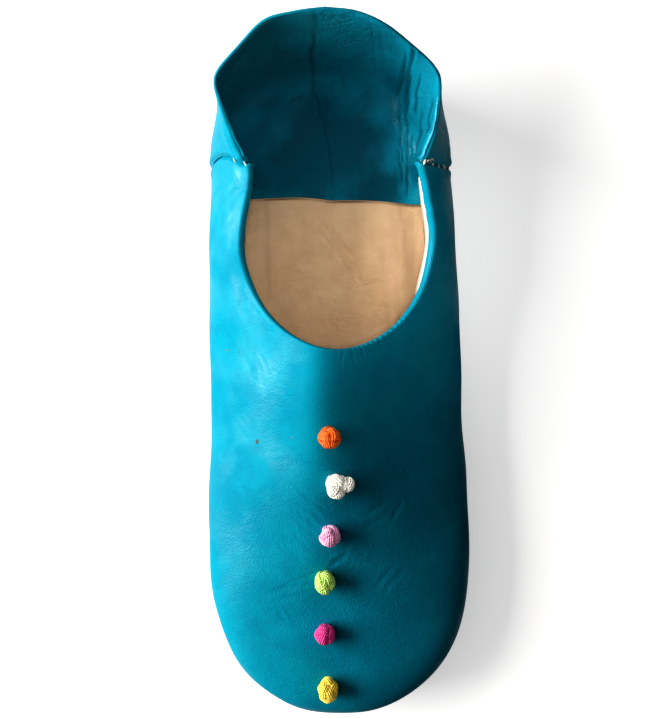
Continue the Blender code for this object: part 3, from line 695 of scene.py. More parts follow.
# Spots: painted highlight on the vamp's lit left side, brown stains and specks, then polished spots
teal_hide = leather("teal_hide", 0.05, (
    ((-26.0, -1.0, 42.0), (9.0, 7.0, 9.0), 0.7, 0.28, PAINTED_HIGHLIGHT),
    ((-34.0, 8.0, 36.0), (5.0, 12.0, 9.0), 0.7, 0.25, PAINTED_HIGHLIGHT),
    ((-41.2, 10.5, 29.0), (0.8, 0.6, 3.0), 0.4, 0.5, STAIN),
    ((-39.2, 2.0, 32.0), (1.0, 0.8, 3.0), 0.4, 0.4, STAIN),
    ((-30.2, -24.2, 36.0), (0.6, 1.0, 4.0), 0.3, 0.9, (0.1, 0.06, 0.03)),
    ((-17.0, -22.5, 44.0), (0.8, 0.6, 4.0), 0.5, 0.3, STAIN),
), (
    ((-38.0, 58.0, 40.0), (6.0, 14.0, 14.0), 0.9, 0.55),
    ((-35.0, 75.0, 44.0), (2.5, 4.0, 9.0), 0.8, 0.7),
    ((-37.0, 34.0, 40.0), (5.0, 9.0, 12.0), 0.9, 0.45),
    ((-27.0, 3.0, 42.0), (14.0, 16.0, 12.0), 1.0, 0.45),
), **TEAL)


def toe_to_seam(count):
    """Stations from the left side seam round the toe to the right one, closer near
    both seams."""
    half = np.concatenate([
        np.linspace(0.0, TOE_TURN, count // 2),
        np.linspace(TOE_TURN, 0.95, count // 2)[1:],
        0.95 + 0.0499 * np.linspace(0.0, 1.0, 28)[1:] ** 0.8,
    ])
    turns = np.concatenate([half[:0:-1], half])
    sides = np.concatenate([-np.ones(len(half) - 1), np.ones(len(half))])
    return turns, sides


turns, sides = toe_to_seam(150)
opening = upper_face(turns, sides, np.ones_like(turns))
to_the_side = ease((opening[:, 1] - 138.0 * MM) / (34.0 * MM))
upper_roll = (1.1 + 0.8 * to_the_side * np.where(sides > 0.0, 1.0, 0.75)) * MM
to_the_front = ease((160.0 * MM - opening[:, 1]) / (14.0 * MM))
front_right = ease((opening[:, 0] - 2.0 * MM) / (8.0 * MM)) * to_the_front


def upper_marks(grid):
    """Creases, gathers and slow swells of the upper."""
    x, y, z = grid[..., 0], grid[..., 1], grid[..., 2]
    high = ease((z - BELLY_HEIGHT) / (8.0 * MM))
    return relief(x, y, UPPER_CREASES, 3) * high + relief(x, y, GATHERS, 5) + slow_swells(x, y, z)


upper, upper_outer, upper_normal, upper_roll_middle = walled_shell(
    "upper_leather", upper_face, turns, sides, 176, 0.0, upper_roll, FOLD_WIDTH, upper_marks,
    0.03 + 0.12 * front_right, teal_hide,
)
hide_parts("upper")

# Quarter lining
# Thin ivory sheepskin glued inside the vamp and sides. Its top is caught under the
# folded edge, it hangs loose beside the right topline, and its foot runs to the insole.
LINING = 0.6 * MM
# Where the loose part's foot stands from the middle line, by its distance from the toe
HANG_ALONG = (0.13, 0.146, 0.1588, 0.1668, 0.172, 0.1787, 0.1847, 0.1947, 0.2081)
HANG_ACROSS = (0.036, 0.0328, 0.0325, 0.0344, 0.0358, 0.0369, 0.0366, 0.0354, 0.0344)
every = slice(None, None, 2)
lining_path, lining_run = even_rows(upper_face, turns[every], sides[every], 80, 4.5 * MM)
lining_normal, _ = outward(lining_path)
lining_edge = (lining_run[:, -1:] - lining_run)[..., None]
against = lining_path - lining_normal * (SKIN + 0.05 * MM + LINING)
inwards = unit(-lining_normal[:, -1:] * np.array([1.0, 1.0, 0.0]))
roll_here = upper_roll[every][:, None, None]
top_y = lining_path[:, -1, 1][:, None, None]
hook = upper_roll_middle[every][:, None] + inwards * (roll_here - 0.3 * MM) - np.array([0.0, 0.0, 0.8 * MM])
foot = lining_path[:, :1] + np.array([0.0, 0.0, 3.0 * MM])
foot[..., 0] = through(HANG_ALONG, HANG_ACROSS, foot[..., 1])
down = ease(lining_edge / lining_edge[:, :1]) * 0.4 + 0.6 * lining_edge / lining_edge[:, :1]
hanging = hook + (foot - hook) * down + inwards * 0.6 * MM * ease(lining_edge / (4.0 * MM)) * (1.0 - down)
loose = between(top_y, 146.0 * MM, 11.0 * MM, 209.0 * MM, 7.0 * MM)
loose = loose * (sides[every] > 0.0)[:, None, None]
lining_front = against + (hanging - against) * loose
lining_back = lining_front + lining_normal * LINING
lining_grid = np.concatenate([lining_front, lining_back[:, ::-1], lining_front[:, :1]], axis=1)
lining_grid[..., 1] += TOE_Y
ivory_hide = leather(
    "ivory_hide", 0.3, colour=(0.92, 0.88, 0.78, 1.0), deep_colour=(0.8, 0.73, 0.6, 1.0),
    clouding=0.5, grain=0.03, wrinkles=0.04, wrinkle_turn=0.2, roughness=0.7, patch_size=40.0,
)
lining = skin("quarter_lining", lining_grid, ivory_hide)
close_ends(lining)

# Heel piece
# A second skin of the same teal goatskin, cut as one piece round the heel. It leans
# back, spreads into two soft corners and is sewn edge to edge to the upper.
HEEL_HEIGHT = 64.0 * MM
HEEL_RAKE = 13.1 * MM
HEEL_SPREAD = 83.5 * MM
HEEL_ASIDE = -1.2 * MM
EDGE_TURN = (0.0, 0.16, 0.34, 0.46, 0.6, 0.74, 0.87, 1.0)
RIGHT_ACROSS = (0.815, 0.945, 1.0, 0.944, 0.76, 0.52, 0.27, 0.0)
RIGHT_BACK = (0.0, 0.21, 0.525, 0.618, 0.745, 0.88, 0.97, 1.0)
LEFT_ACROSS = (0.76, 0.89, 0.985, 0.945, 0.76, 0.52, 0.27, 0.0)
LEFT_BACK = (0.0, 0.21, 0.51, 0.605, 0.755, 0.935, 0.985, 1.0)
EDGE_CLIMB = (0.0, 0.14, 0.4, 0.54, 0.72, 0.92, 0.98, 1.0)


def heel_face(turn, side, t):
    """Outer face of the heel piece, turn from 1 at the side seam to 2 at the back: its
    section starts as the upper's own and becomes a wall that leans out to the edge."""
    wide_x, wide_y = belly_line(turn)
    at_seam = np.ones_like(turn)
    seam = upper_face(at_seam, side, t)
    seam_top = upper_face(at_seam, side, at_seam)
    share = turn - 1.0
    across = by_side(side, EDGE_TURN, RIGHT_ACROSS, LEFT_ACROSS, share)
    back = by_side(side, EDGE_TURN, RIGHT_BACK, LEFT_BACK, share)
    climb = through(EDGE_TURN, EDGE_CLIMB, share)
    top_x = side * across * 0.5 * HEEL_SPREAD + HEEL_ASIDE * ease(2.0 * share)
    top_y = SEAM_FROM_TOE + back * (HEEL_CAP_LENGTH + HEEL_RAKE)
    up = np.clip(t, 0.0, 1.0)
    seam_low = BELLY_HEIGHT + sole_lift(SEAM_FROM_TOE)
    seam_rise = (seam[..., 2] - seam_low) / (seam_top[..., 2] - seam_low)
    plain = ease(share / 0.6)
    rise = (1.0 - plain) * seam_rise + plain * up
    way = (1.0 - plain) * up**2 + plain * up**1.5
    top_z = seam_top[..., 2] + climb * (HEEL_HEIGHT - seam_top[..., 2])
    x = side * wide_x + (top_x - side * wide_x) * way
    y = wide_y + (top_y - wide_y) * way
    return joined(t, lower_wall(turn, side, t, 0.5 * MM), (x, y, seam_low + (top_z - seam_low) * rise))


def round_the_heel(count):
    """Stations from the right side seam round the back to the left one."""
    near = 0.0004 + 0.06 * np.linspace(0.0, 1.0, 28)[:-1] ** 1.4
    half = 1.0 + np.concatenate([near, np.linspace(0.0604, 1.0, count)])
    turns = np.concatenate([half, half[-2::-1]])
    sides = np.concatenate([np.ones(len(half)), -np.ones(len(half) - 1)])
    return turns, sides


HEEL_MARKS = (
    (-0.93, 0.9, -0.8, 0.88, 0.6, 2, 2.6, 0.8, 0.16),
    (-0.98, 0.94, -0.86, 0.925, 0.6, 2, 2.6, 0.8, 0.12),
    (0.96, 0.9, 0.82, 0.885, 0.6, 3, 2.6, 0.8, 0.2),
)


def heel_marks(grid):
    """Slow swells and a few creases of the heel piece."""
    x, y, z = grid[..., 0], grid[..., 1], grid[..., 2]
    return slow_swells(x, y, z) + relief(x, y, HEEL_MARKS, 8)


def heel_roll(turns):
    """Radius of the heel's folded edge: as thick as the upper's at the seam, thin at the back."""
    return (0.6 + 1.1 * (1.0 - ease((turns - 1.0) / 0.4))) * MM


heel_turns, heel_sides = round_the_heel(120)
heel_piece, heel_outer, heel_normal, heel_roll_middle = walled_shell(
    "heel_leather", heel_face, heel_turns, heel_sides, 130, 0.35 * MM, heel_roll(heel_turns), 1.0 * MM,
    heel_marks, 0.03 + 0.0 * heel_turns, teal_hide,
)
heel_order = np.where(heel_sides > 0.0, heel_turns, 4.0 - heel_turns)
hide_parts("heel_piece")

# Heel lining and sock
# A teal skin that lines the heel piece, bends round at the foot of the wall and runs
# forward over the insole as the heel sock, ending in a wavy cut edge.
SOCK_FRONT = 0.801 * SOLE_LENGTH
SOCK_TOP = INSOLE_TOP + 1.7 * MM
SEAT_RADIUS = 34.0 * MM
SHEET = 0.5 * MM
# On the right the lining stands off the wall, by share of the way up
STAND_RANK = (0.0, 0.06, 0.2, 0.36, 0.55, 0.78, 1.0)
STAND_OFF = (0.0055, 0.0075, 0.0095, 0.0088, 0.0056, 0.0015, 0.0)
CENTRE_ALONG = (0.78, 0.797, 0.855, 0.921, 0.96, 1.005, 1.026, 1.042, 1.07)
CENTRE_ACROSS = (0.022, 0.021, 0.011, -0.042, -0.098, -0.14, -0.118, -0.105, -0.08)
HEEL_CREASES = (
    (-0.12, 1.026, -0.185, 1.002, 0.5, 1, 1.0, 0.7, 0.25),
    (-0.15, 1.008, -0.115, 0.958, -0.6, 1, 2.4, 0.7, 0.2),
    (-0.19, 0.983, -0.38, 0.958, 0.9, 1, 2.6, 0.8, 0.22),
    (-0.16, 0.975, -0.3, 0.95, -0.7, 1, 2.6, 0.7, 0.14),
    (0.4, 1.013, 0.15, 1.005, -0.5, 1, 2.6, 0.7, 0.12),
    (0.16, 1.006, -0.06, 1.003, 0.4, 1, 2.6, 0.7, 0.12),
    (0.39, 0.97, 0.1, 0.915, 1.2, 1, 2.8, 0.7, 0.14),
    (0.03, 0.955, 0.0, 0.91, 0.3, 1, 2.0, 0.6, 0.14),
    (0.12, 0.905, 0.46, 0.918, 0.8, 1, 2.4, 0.7, 0.12),
    (-0.05, 0.978, -0.01, 0.92, 0.3, 1, 1.0, 0.6, 0.2),
    (-0.1, 1.02, -0.02, 0.985, 0.6, 2, 2.2, 0.6, 0.1),
    (0.02, 1.0, 0.06, 0.95, 0.8, 3, 2.6, 0.6, 0.14),
    (0.1, 0.935, 0.32, 0.985, 1.0, 3, 3.2, 0.6, 0.1),
    (0.08, 0.895, 0.3, 0.925, 0.8, 3, 3.0, 0.6, 0.1),
    (-0.24, 1.01, -0.16, 0.96, -0.6, 2, 2.4, 0.6, 0.1),
    (0.36, 1.03, 0.5, 0.985, 0.6, 2, 2.8, 0.6, 0.12),
    (0.62, 1.0, 0.58, 0.94, 0.8, 2, 1.8, 0.6, 0.34),
    (0.7, 0.985, 0.68, 0.915, -0.8, 3, 1.7, 0.55, 0.36),
    (0.6, 0.945, 0.64, 0.87, 0.9, 2, 1.6, 0.6, 0.36),
    (0.68, 0.9, 0.67, 0.83, -0.6, 3, 1.5, 0.5, 0.3),
    (0.8, 0.96, 0.76, 0.88, 0.7, 3, 1.5, 0.5, 0.3),
    (0.6, 0.88, 0.62, 0.815, 0.7, 2, 1.5, 0.5, 0.3),
)


def heel_lining_grid():
    """Rows from the middle line over the seat to the foot of the wall and up to the fold.
    Ahead of the seams the wall part shrinks to a low curl against the upper's lining."""
    span = (SEAM_FROM_TOE - TOE_CAP_LENGTH) / (1.0 - TOE_TURN)
    front = 1.0 - (SEAM_FROM_TOE - SOCK_FRONT) / span
    right = np.concatenate([np.linspace(front, 1.0, 34)[:-1], np.linspace(1.0, 2.0, 132)])
    left = np.concatenate([np.linspace(front, 1.0, 26)[:-1], np.linspace(1.0, 2.0, 86)])
    turns = np.concatenate([right, left[-2::-1]])
    sides = np.concatenate([np.ones(len(right)), -np.ones(len(left) - 1)])
    behind = np.maximum(turns, 1.0)
    order = np.where(sides > 0.0, behind, 4.0 - behind)
    thick = 2.0 * heel_roll(behind) + 0.1 * MM
    rear, run = even_rows(heel_face, behind, sides, 94, 0.5 * thick + CLEARANCE)
    fore, _ = even_rows(upper_face, np.minimum(turns, 1.0), sides, 94, 2.5 * MM)
    in_heel = (turns > 1.0)[:, None, None]
    wall = np.where(in_heel, rear, fore)
    normal, _ = outward(wall)
    edge = (run[:, -1:] - run)[..., None]
    under = thick[:, None, None] + (1.9 * MM - thick[:, None, None]) * ease((edge - 5.0 * MM) / (6.0 * MM))
    wall = wall - normal * np.where(in_heel, under, 2.4 * MM)
    rank = np.linspace(0.0, 1.0, wall.shape[1])
    share = 0.06 + 0.94 * ease((turns - 0.982) / 0.014)
    source = share[:, None] * rank[None, :] * (wall.shape[1] - 1)
    low = np.clip(source.astype(int), 0, wall.shape[1] - 2)
    part = (source - low)[..., None]
    column = np.arange(len(turns))[:, None]
    wall = wall[column, low] * (1.0 - part) + wall[column, low + 1] * part
    foot = wall[:, 0]
    foot[:, 2] = SOCK_TOP + sole_lift(foot[:, 1])
    wall[..., 2] = np.maximum(wall[..., 2], foot[:, None, 2])
    stands_off = between(turns, 0.99, 0.08, 1.62, 0.2) * (sides > 0.0)
    stands_off = (stands_off[:, None] * through(STAND_RANK, STAND_OFF, rank)[None, :])[..., None]
    wall = wall - unit(normal * np.array([1.0, 1.0, 0.0])) * stands_off
    foot = wall[:, 0]
    spine_y = np.clip(foot[:, 1], SOCK_FRONT, SOLE_LENGTH - SEAT_RADIUS)
    spine = np.stack([0.0 * spine_y, spine_y, SOCK_TOP + sole_lift(spine_y)], axis=1)
    way = np.linspace(0.0, 1.0, 76)[:-1]
    seat = spine[:, None] + way[None, :, None] * (foot - spine)[:, None]
    grid = np.concatenate([seat, wall], axis=1)
    back = ease((turns - np.where(sides > 0.0, 1.45, 1.15)) / 0.35)[:, None, None]
    loose = 0.02 + 0.98 * back
    for _ in range(450):
        pull = 0.25 * grid[:, :-2] - 0.5 * grid[:, 1:-1] + 0.25 * grid[:, 2:]
        grid[:, 1:-1] += loose * pull
    for _ in range(12):
        grid[1:-1] += 0.5 * (0.5 * grid[:-2] - grid[1:-1] + 0.5 * grid[2:])
    crest = heel_roll(behind)[:, None, None] + 0.06 * MM
    bend = ease((turns - 0.99) / 0.03)[:, None, None]
    bend = 0.5 * math.pi * np.linspace(0.1, 1.15, 7)[None, :, None] * bend
    climb = heel_outer[:, -1] - heel_outer[:, -3]
    rim = np.concatenate([heel_roll_middle, heel_normal[:, -1], climb], axis=1)
    rim = np.stack([np.interp(order, heel_order, rim[:, k]) for k in range(9)], axis=1)[:, None]
    over = rim[..., :3] + crest * (np.sin(bend) * unit(rim[..., 6:]) - np.cos(bend) * unit(rim[..., 3:6]))
    over = grid[:, -1:] + (over - grid[:, -1:]) * in_heel
    return np.concatenate([grid, over], axis=1)


seat = heel_lining_grid()
seat_normal = unit(np.cross(np.gradient(seat, axis=0), np.gradient(seat, axis=1)))
seat_normal *= np.sign(seat_normal[:, 30, 2].mean())
px, py, pz = seat[..., 0], seat[..., 1], seat[..., 2]
marks = relief(px, py, HEEL_CREASES, 11)
centre = 0.5 * BALL_WIDTH * through(CENTRE_ALONG, CENTRE_ACROSS, py / SOLE_LENGTH)
beside = (px - centre - 0.35 * MM * np.sin(700.0 * py)) / (0.5 * MM)
pinch = bell(beside) - 0.2 * bell(beside + 2.0) - 0.1 * bell(beside - 2.0)
marks -= (0.22 + 0.1 * ease((py - 0.92 * SOLE_LENGTH) / (12.0 * MM))) * MM * pinch
# Painted shade in the creases of the heel lining, fading out towards the top of the back
crease_shade = 0.5 * ease((-marks - 0.03 * MM) / (0.3 * MM)) * ease((SOLE_LENGTH * 1.07 - py) / (6.0 * MM))
seat = seat + seat_normal * (marks + 0.9 * slow_swells(px, py, pz))[..., None]
front_pull = bell((py - SOCK_FRONT) / (9.0 * MM))
front_line = SOLE_LENGTH * through(SOCK_EDGE_ACROSS, SOCK_EDGE_ALONG, px / (0.5 * BALL_WIDTH))
seat[..., 1] += front_pull * (front_line - SOCK_FRONT)
seat[..., 2] += 0.3 * MM * front_pull * (1.0 + np.sin(120.0 * px + 1.0))
seat[..., 1] += TOE_Y
# Spots: painted shadow over the seat and its front right, painted light high on the back wall's left,
# painted shade high on its right, and painted light on the right wall, which is also polished
lining_hide = leather("heel_lining_hide", 0.12, (
    ((-2.0, 88.0, 6.0), (44.0, 44.0, 24.0), 0.7, 0.95, (0.001, 0.105, 0.15)),
    ((20.0, 72.0, 5.0), (17.0, 28.0, 18.0), 0.8, 0.9, (0.001, 0.07, 0.105)),
    ((-12.0, 120.0, 48.0), (34.0, 20.0, 26.0), 0.9, 0.6, (0.004, 0.46, 0.6)),
    ((20.0, 124.0, 52.0), (14.0, 10.0, 16.0), 0.9, 0.6, (0.001, 0.15, 0.21)),
    ((40.0, 94.0, 40.0), (15.0, 34.0, 60.0), 0.35, 0.6, (0.004, 0.4, 0.56)),
), (
    ((40.0, 94.0, 40.0), (15.0, 34.0, 60.0), 0.35, 0.9),
), **dict(TEAL, grain=0.09, wrinkles=0.12, polish=0.35))
heel_lining = skin("heel_lining", seat, lining_hide, shade=crease_shade)
if np.mean([face.normal.z for face in heel_lining.data.polygons]) < 0.0:
    heel_lining.data.flip_normals()
sheet = heel_lining.modifiers.new("thickness", "SOLIDIFY")
sheet.thickness = SHEET
sheet.offset = -1.0
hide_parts("heel_sock")

# Side seams
# Waxed ivory linen thread, sewn over and over by hand across both side seams. Most
# stitches are pulled down into the groove, and the right seam ends in a loose tuft.
THREAD_RADIUS = 0.3 * MM


def rings(path, out, aside, size, around):
    """A circle round each point of a path: cosine times one direction square to the
    path and sine times the other, each times the size."""
    angle = np.linspace(0.0, 2.0 * math.pi, around + 1)[None, :, None]
    return path[:, None] + size * (np.cos(angle) * out[:, None] + np.sin(angle) * aside[:, None])


def open_tube(path, radius, around=8):
    """A tube along an open path, drawn to a point at each end."""
    ahead = unit(np.gradient(path, axis=0))
    aside = unit(np.cross(ahead, np.array([0.13, 0.71, 0.69])))
    out = np.cross(aside, ahead)
    ends = np.minimum(np.arange(len(path)), np.arange(len(path))[::-1])
    size = radius * np.sqrt(np.clip(ends / 2.0, 0.0, 1.0))[:, None, None]
    return rings(path, out, aside, size, around)


def join(name, parts, core=None):
    """One piece made of several of the same material, with a core inside them if given."""
    whole = bmesh.new() if core is None else core
    for part in parts:
        whole.from_mesh(part.data)
    mesh = parts[0].data.copy()
    mesh.name = name
    whole.to_mesh(mesh)
    whole.free()
    for part in parts:
        bpy.data.objects.remove(part)
    mesh.shade_smooth()
    piece = show(name, mesh)
    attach(piece, "root")
    return piece


def stitch(side, height, proud, slant):
    """One stitch across a seam at a height: an arch from the upper's skin to the heel
    piece's, sunk into both, and lifted by so many millimetres over the groove."""
    front, back = (-1, 0) if side > 0 else (0, -1)

    def at(level, line, values):
        """Values at a level of a line that goes up the seam."""
        return np.array([np.interp(level, line[:, 2], values[:, k]) for k in range(3)])

    a = at(height - slant, upper_outer[front], upper_outer[front])
    b = at(height + slant, heel_outer[back], heel_outer[back])
    out = at(height, upper_outer[front], upper_normal[front])
    along = np.linspace(-1.0, 1.0, 13)[:, None]
    path = 0.5 * (a + b) + along * (0.5 * (b - a) + np.array([0.0, 1.5 * MM, 0.0]))
    lift = 0.55 * MM + proud * MM - 0.9 * MM * along**4
    return open_tube(path + out * lift, THREAD_RADIUS)


STITCHES = (
    (-1, 45.2, -0.1, 0.2), (-1, 41.3, 0.25, 0.3),
    (1, 43.0, 0.4, 0.5), (1, 41.8, 0.35, -0.4), (1, 40.4, 0.1, 0.5), (1, 37.2, -0.45, 0.4),
    (1, 34.0, -0.4, 0.4), (1, 30.8, -0.45, 0.4), (1, 28.0, -0.1, 0.5), (1, 25.8, -0.4, 0.6),
    (1, 20.0, -0.5, 0.4), (1, 14.0, -0.5, 0.4),
)
# The tuft: each loose end as three points, in millimetres from the top of the right seam
TUFT = (
    ((-0.9, 0.1, -0.3), (-1.7, 0.9, 0.6), (-1.9, 0.1, -0.4)),
    ((-0.4, 0.8, 0.1), (0.6, 1.7, 1.0), (1.6, 1.2, 0.0)),
    ((0.0, -0.5, 0.4), (1.1, 0.4, 1.1), (2.2, -0.2, -0.4)),
    ((-1.2, -0.7, -0.3), (-0.4, 0.0, 0.9), (0.8, 0.8, 0.3)),
    ((1.2, 0.5, -0.4), (2.4, 0.9, 0.1), (3.2, 0.2, -1.4)),
)
thread = leather(
    "ivory_thread", 0.3, colour=(0.8, 0.76, 0.66, 1.0), deep_colour=(0.5, 0.45, 0.35, 1.0),
    clouding=0.7, grain=0.05, wrinkles=0.05, wrinkle_turn=0.2, roughness=0.75, patch_size=400.0,
)
threads = [stitch(side, height * MM, proud, slant * MM) for side, height, proud, slant in STITCHES]
tuft_foot = upper_roll_middle[-1] + np.array([2.6, 0.2, 0.9]) * MM
bend = np.linspace(0.0, 1.0, 13)[:, None]
for ends in TUFT:
    p, q, r = [tuft_foot + np.array(point) * MM for point in ends]
    path = (1.0 - bend) ** 2 * p + 2.0 * bend * (1.0 - bend) * (2.0 * q - 0.5 * (p + r)) + bend**2 * r
    threads.append(open_tube(path, THREAD_RADIUS))
for grid in threads:
    grid[..., 1] += TOE_Y
seam_thread = join("seam_thread", [skin("stitch", grid, thread) for grid in threads])

# Knotted buttons
# Each is tied from silk cord laid in a flat band, woven over and under round a small
# core into a ball, and sewn down through the vamp.
KNOT_SIZE = 9.0 * MM
# Colour name, along the sole, aside, size, lobe, its direction, width, length, colours, turn
KNOTS = (
    ("orange", 0.43, -0.083, 1.0, 0.05, 0.6, 1.02, 0.98, (0.96, 0.22, 0.022), (0.66, 0.075, 0.004), 0.3),
    ("white", 0.355, -0.038, 1.0, 0.08, 0.35, 0.98, 1.15, (0.96, 0.94, 0.87), (0.91, 0.86, 0.74), 1.1),
    ("pink", 0.278, -0.089, 0.97, 0.05, 2.0, 0.96, 1.04, (0.93, 0.54, 0.72), (0.7, 0.25, 0.44), 2.0),
    ("green", 0.206, -0.133, 0.99, 0.06, 4.0, 0.94, 1.08, (0.72, 0.9, 0.32), (0.28, 0.58, 0.06), 0.8),
    ("magenta", 0.121, -0.139, 0.95, 0.05, 3.0, 0.96, 1.06, (0.86, 0.1, 0.38), (0.46, 0.015, 0.16), 1.6),
    ("yellow", 0.033, -0.122, 1.02, 0.08, 5.2, 0.93, 1.13, (0.97, 0.8, 0.18), (0.84, 0.56, 0.025), 2.7),
)
# The white one has a second, small ball where its cord ends are tucked in
BUD_ASIDE = Vector((3.8, 0.6, 0.1)) * MM
BUD_RADIUS = 3.3 * MM
ROUNDS = 3
SWINGS = 4
CORD_RADIUS = 0.4 * MM
PLY_LENGTH = 0.75 * MM
WEAVE_DEPTH = 0.42 * MM


def silk(name, colour, deep):
    """Silk cord: fine plies that slant round it, drawn on its own strand coordinates,
    painted shade between the plies and where the band dives under, a soft sheen, and a
    little glow, painted light that brightens the whole knot."""
    material, tree, shader = new_material(name)
    strand = add(tree, "ShaderNodeUVMap", uv_map="strand").outputs[0]
    parts = add(tree, "ShaderNodeSeparateXYZ", {0: strand})
    slant = calc("ADD", parts.outputs[1], parts.outputs[0])
    ply = calc("ABSOLUTE", calc("SINE", times(slant, math.pi)))
    place = add(tree, "ShaderNodeTexCoord").outputs["Object"]
    height = times(cloud(place, 2600.0, 3.0), 0.5, ply)
    bump = add(tree, "ShaderNodeBump", {"Height": height, "Distance": 0.17 * MM, "Strength": 1.0})
    painted_shade = add(tree, "ShaderNodeAttribute", attribute_name="painted_shade").outputs["Fac"]
    # Painted shade: deeper colour between the plies and, from the mesh, where the band dives under; the
    # patches are the silk's own uneven dye
    between_plies = fade(ply, 0.05, 0.8, 0.42, 0.0)
    patchy = fade(cloud(place, 900.0, 2.0), 0.38, 0.62, 0.0, 0.3)
    share = times(painted_shade, 0.3, calc("ADD", between_plies, patchy))
    share = add(tree, "ShaderNodeClamp", {"Value": share}).outputs[0]
    dyed = mingle(share, (*colour, 1.0), (*deep, 1.0))
    # Emission: painted light, a small glow that brightens the knots all over
    fill(tree, shader, {
        "Base Color": dyed, "Emission Color": dyed, "Normal": bump.outputs["Normal"],
        "Emission Strength": 0.09, "Roughness": 0.55, "Sheen Weight": 0.2, "Sheen Roughness": 0.4,
    })
    return material


def closed_tube(path, radius, around):
    """A tube along a closed path, one of its two square directions kept as near to the
    outward one as can be."""
    ahead = unit(np.roll(path, -1, axis=0) - np.roll(path, 1, axis=0))
    aside = unit(np.cross(ahead, unit(path)))
    out = np.cross(aside, ahead)
    grid = rings(path, out, aside, radius, around)
    step = np.linalg.norm(np.roll(path, -1, axis=0) - path, axis=1)
    along = np.concatenate([[0.0], np.cumsum(step)[:-1]]) / PLY_LENGTH
    coords = np.stack(np.broadcast_arrays(along[:, None], np.linspace(0.0, 1.0, around + 1)), axis=-1)
    return grid, coords, aside


def knot_cords(radius, lobe, lobe_turn, seed):
    """The weave: one closed line that runs round the ball three times while it swings
    up and down four times, passing over and under itself, as a band of four cords."""
    t = np.linspace(0.0, 2.0 * math.pi, 560, endpoint=False)
    phases = np.random.default_rng(seed).uniform(0.0, 2.0 * math.pi, 6)
    longitude = ROUNDS * t + 0.14 * np.sin(2 * t + phases[0]) + 0.05 * np.sin(5 * t + phases[4])
    latitude = 1.04 * np.cos(SWINGS * t) + 0.1 * np.sin(3 * t + phases[1])
    weave = WEAVE_DEPTH * np.sin(2.0 * SWINGS * t)
    direction = np.stack([
        np.cos(latitude) * np.cos(longitude), np.cos(latitude) * np.sin(longitude), np.sin(latitude)
    ], axis=1)
    to_lobe = np.array([math.cos(lobe_turn), math.sin(lobe_turn), 0.35])
    toward = direction @ (to_lobe / np.linalg.norm(to_lobe))
    lump = lobe * (bell((1.0 - toward) / 0.22) - 0.4 * bell((toward - 0.45) / 0.2))
    lump = lump + 0.035 * np.sin(3.0 * longitude + phases[2]) * np.cos(2.0 * latitude + phases[3])
    core = (radius - CORD_RADIUS - WEAVE_DEPTH) * (1.0 + lump)
    line = direction * (core + weave)[:, None]
    _, _, aside = closed_tube(line, CORD_RADIUS, 6)
    for place in (-1.5, -0.5, 0.5, 1.5):
        path = line + aside * place * 2.05 * CORD_RADIUS
        size = core + weave - 0.07 * MM * place**2 + 0.1 * MM * np.sin(9 * t + phases[5] + 2.0 * place)
        path = unit(path) * size[:, None]
        grid, coords, _ = closed_tube(path, CORD_RADIUS, 8)
        # How low the band lies, which the silk paints as shade where it dives under
        low = 0.5 - 0.5 * np.sin(2.0 * SWINGS * t) + 0.15 * (abs(place) - 1.0)
        yield grid, coords, np.repeat(np.clip(low, 0.0, 1.0)[:, None], 9, axis=1)


for index, (tint, along, aside, size, lobe, lobe_turn, wide, long, colour, deep, spin) in enumerate(KNOTS):
    radius = 0.5 * size * KNOT_SIZE
    x, y = 0.5 * aside * BALL_WIDTH, along * SOLE_LENGTH
    steps = np.array([[-1, 0], [1, 0], [0, -1], [0, 1], [0, 0]]) * MM
    left, right, ahead, behind, top = vamp_height(x + steps[:, 0], y + steps[:, 1])
    slope = Vector((left - right, ahead - behind, 2.0 * MM)).normalized()
    place = Matrix.Translation(Vector((x, y + TOE_Y, top)) + slope * (0.8 * radius + 0.4 * MM))
    centre = np.array(place.translation)
    stretch = np.diag([wide, long, 0.95])
    turned = np.array(Matrix.Rotation(spin, 3, "Z") @ Matrix.Rotation(0.5, 3, "X"))
    silk_here = silk(f"{tint}_silk", colour, deep)
    ball = bmesh.new()
    bmesh.ops.create_icosphere(ball, subdivisions=3, radius=radius - 2.9 * CORD_RADIUS, matrix=place)
    cords = [
        (grid @ turned.T @ stretch + centre, coords, low)
        for grid, coords, low in knot_cords(radius, lobe, lobe_turn - spin, 20 + index)
    ]
    if tint == "white":
        bud = knot_cords(BUD_RADIUS, 0.0, 0.0, 40)
        cords += [(grid + centre + np.array(BUD_ASIDE), coords, low) for grid, coords, low in bud]
    knot = join(f"silk_knot_{tint}", [
        skin("cord", grid, silk_here, wrap=True, coords=coords, shade=low) for grid, coords, low in cords
    ], ball)
    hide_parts(f"knot_{tint}")

# Floor
# A plain pale board under the slipper, wide enough to fill the camera's view. It glows a
# little, so that the shadow stays light, and throws no light back on the slipper.
board, board_tree, board_surface = new_material("pale_board")
fill(board_tree, board_surface, {
    "Base Color": (0.85, 0.85, 0.85, 1.0), "Roughness": 0.9,
    "Emission Color": (1.0, 1.0, 1.0, 1.0), "Emission Strength": 0.4,
})
floor_mesh = bpy.data.meshes.new("floor")
floor_mesh.from_pydata([(-3, -3, 0), (3, -3, 0), (3, 3, 0), (-3, 3, 0)], [], [(0, 1, 2, 3)])
floor_mesh.materials.append(board)
floor = show("floor", floor_mesh)
floor.visible_diffuse = False


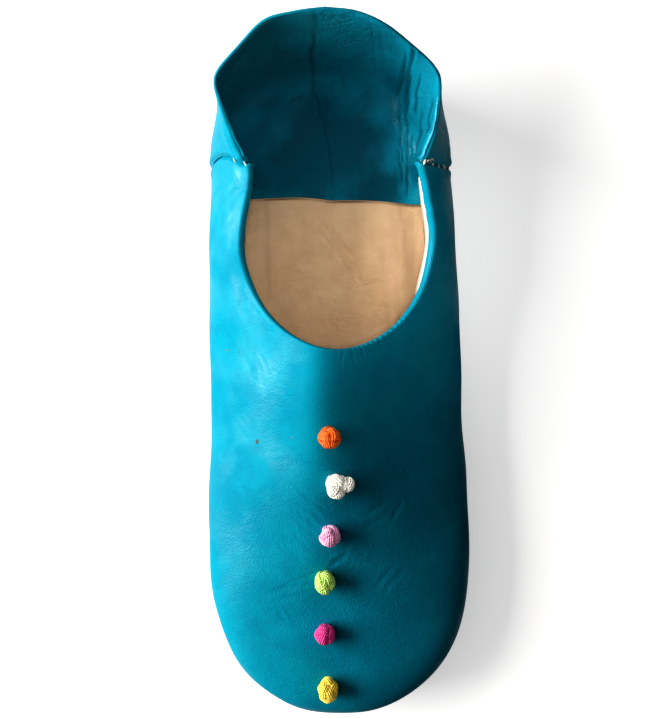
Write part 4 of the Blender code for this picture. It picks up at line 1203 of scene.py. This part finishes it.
# Light and camera
# A large soft window low on the slipper's left, a softer light from above, a narrow lamp
# over the opening, a faint fill, and a camera held straight above the slipper.
def lamp(name, kind, place, target, **settings):
    """A lamp at a place, turned to face a target."""
    data = bpy.data.lights.new(name, kind)
    for key, value in settings.items():
        setattr(data, key, value)
    thing = show(name, data)
    thing.location = place
    thing.rotation_euler = (Vector(place) - Vector(target)).to_track_quat("Z", "Y").to_euler()
    return thing


MIDDLE = (0.0, 0.0, 0.0)
LAMP_DISTANCE_WINDOW = 1.5
LAMP_DISTANCE_SKY = 1.6
from_window = Vector((-1.0, 0.12, 0.39)).normalized() * LAMP_DISTANCE_WINDOW
from_above = Vector((-0.5, 0.05, 1.0)).normalized() * LAMP_DISTANCE_SKY
lamp("window", "AREA", from_window, MIDDLE, shape="SQUARE", size=1.2, energy=40.0, color=(1.0, 0.985, 0.96))
lamp("sky", "AREA", from_above, MIDDLE, shape="SQUARE", size=1.3, energy=3.0)
opening_lamp = lamp(
    "opening", "SPOT", (0.015, 0.02, 0.6), (0.0, 0.05, 0.0),
    energy=4.7, spot_size=0.29, spot_blend=1.0, shadow_soft_size=0.04,
)
opening_lamp.visible_glossy = False
world = bpy.data.worlds.new("room")
bpy.context.scene.world = world
world.use_nodes = True
fill(world.node_tree, world.node_tree.nodes["Background"], {"Color": (1.0, 1.0, 1.0, 1.0), "Strength": 0.03})

CAMERA_ROLL = math.radians(1.28)
CAMERA_PLACE = Vector((-4.0 * MM, 6.15 * MM, 535.0 * MM))
lens = bpy.data.cameras.new("camera")
lens.sensor_width = 36.0
lens.lens = 66.4
camera = show("camera", lens)
up = Vector((math.sin(CAMERA_ROLL), math.cos(CAMERA_ROLL), 0.0))
back = Vector((0.0, 0.0, 1.0))
turned = Matrix((up.cross(back), up, back)).transposed().to_4x4()
turned.translation = CAMERA_PLACE
camera.matrix_world = turned
bpy.context.scene.camera = camera
bpy.context.scene.view_settings.view_transform = "Standard"
bpy.context.scene.view_settings.look = "High Contrast"
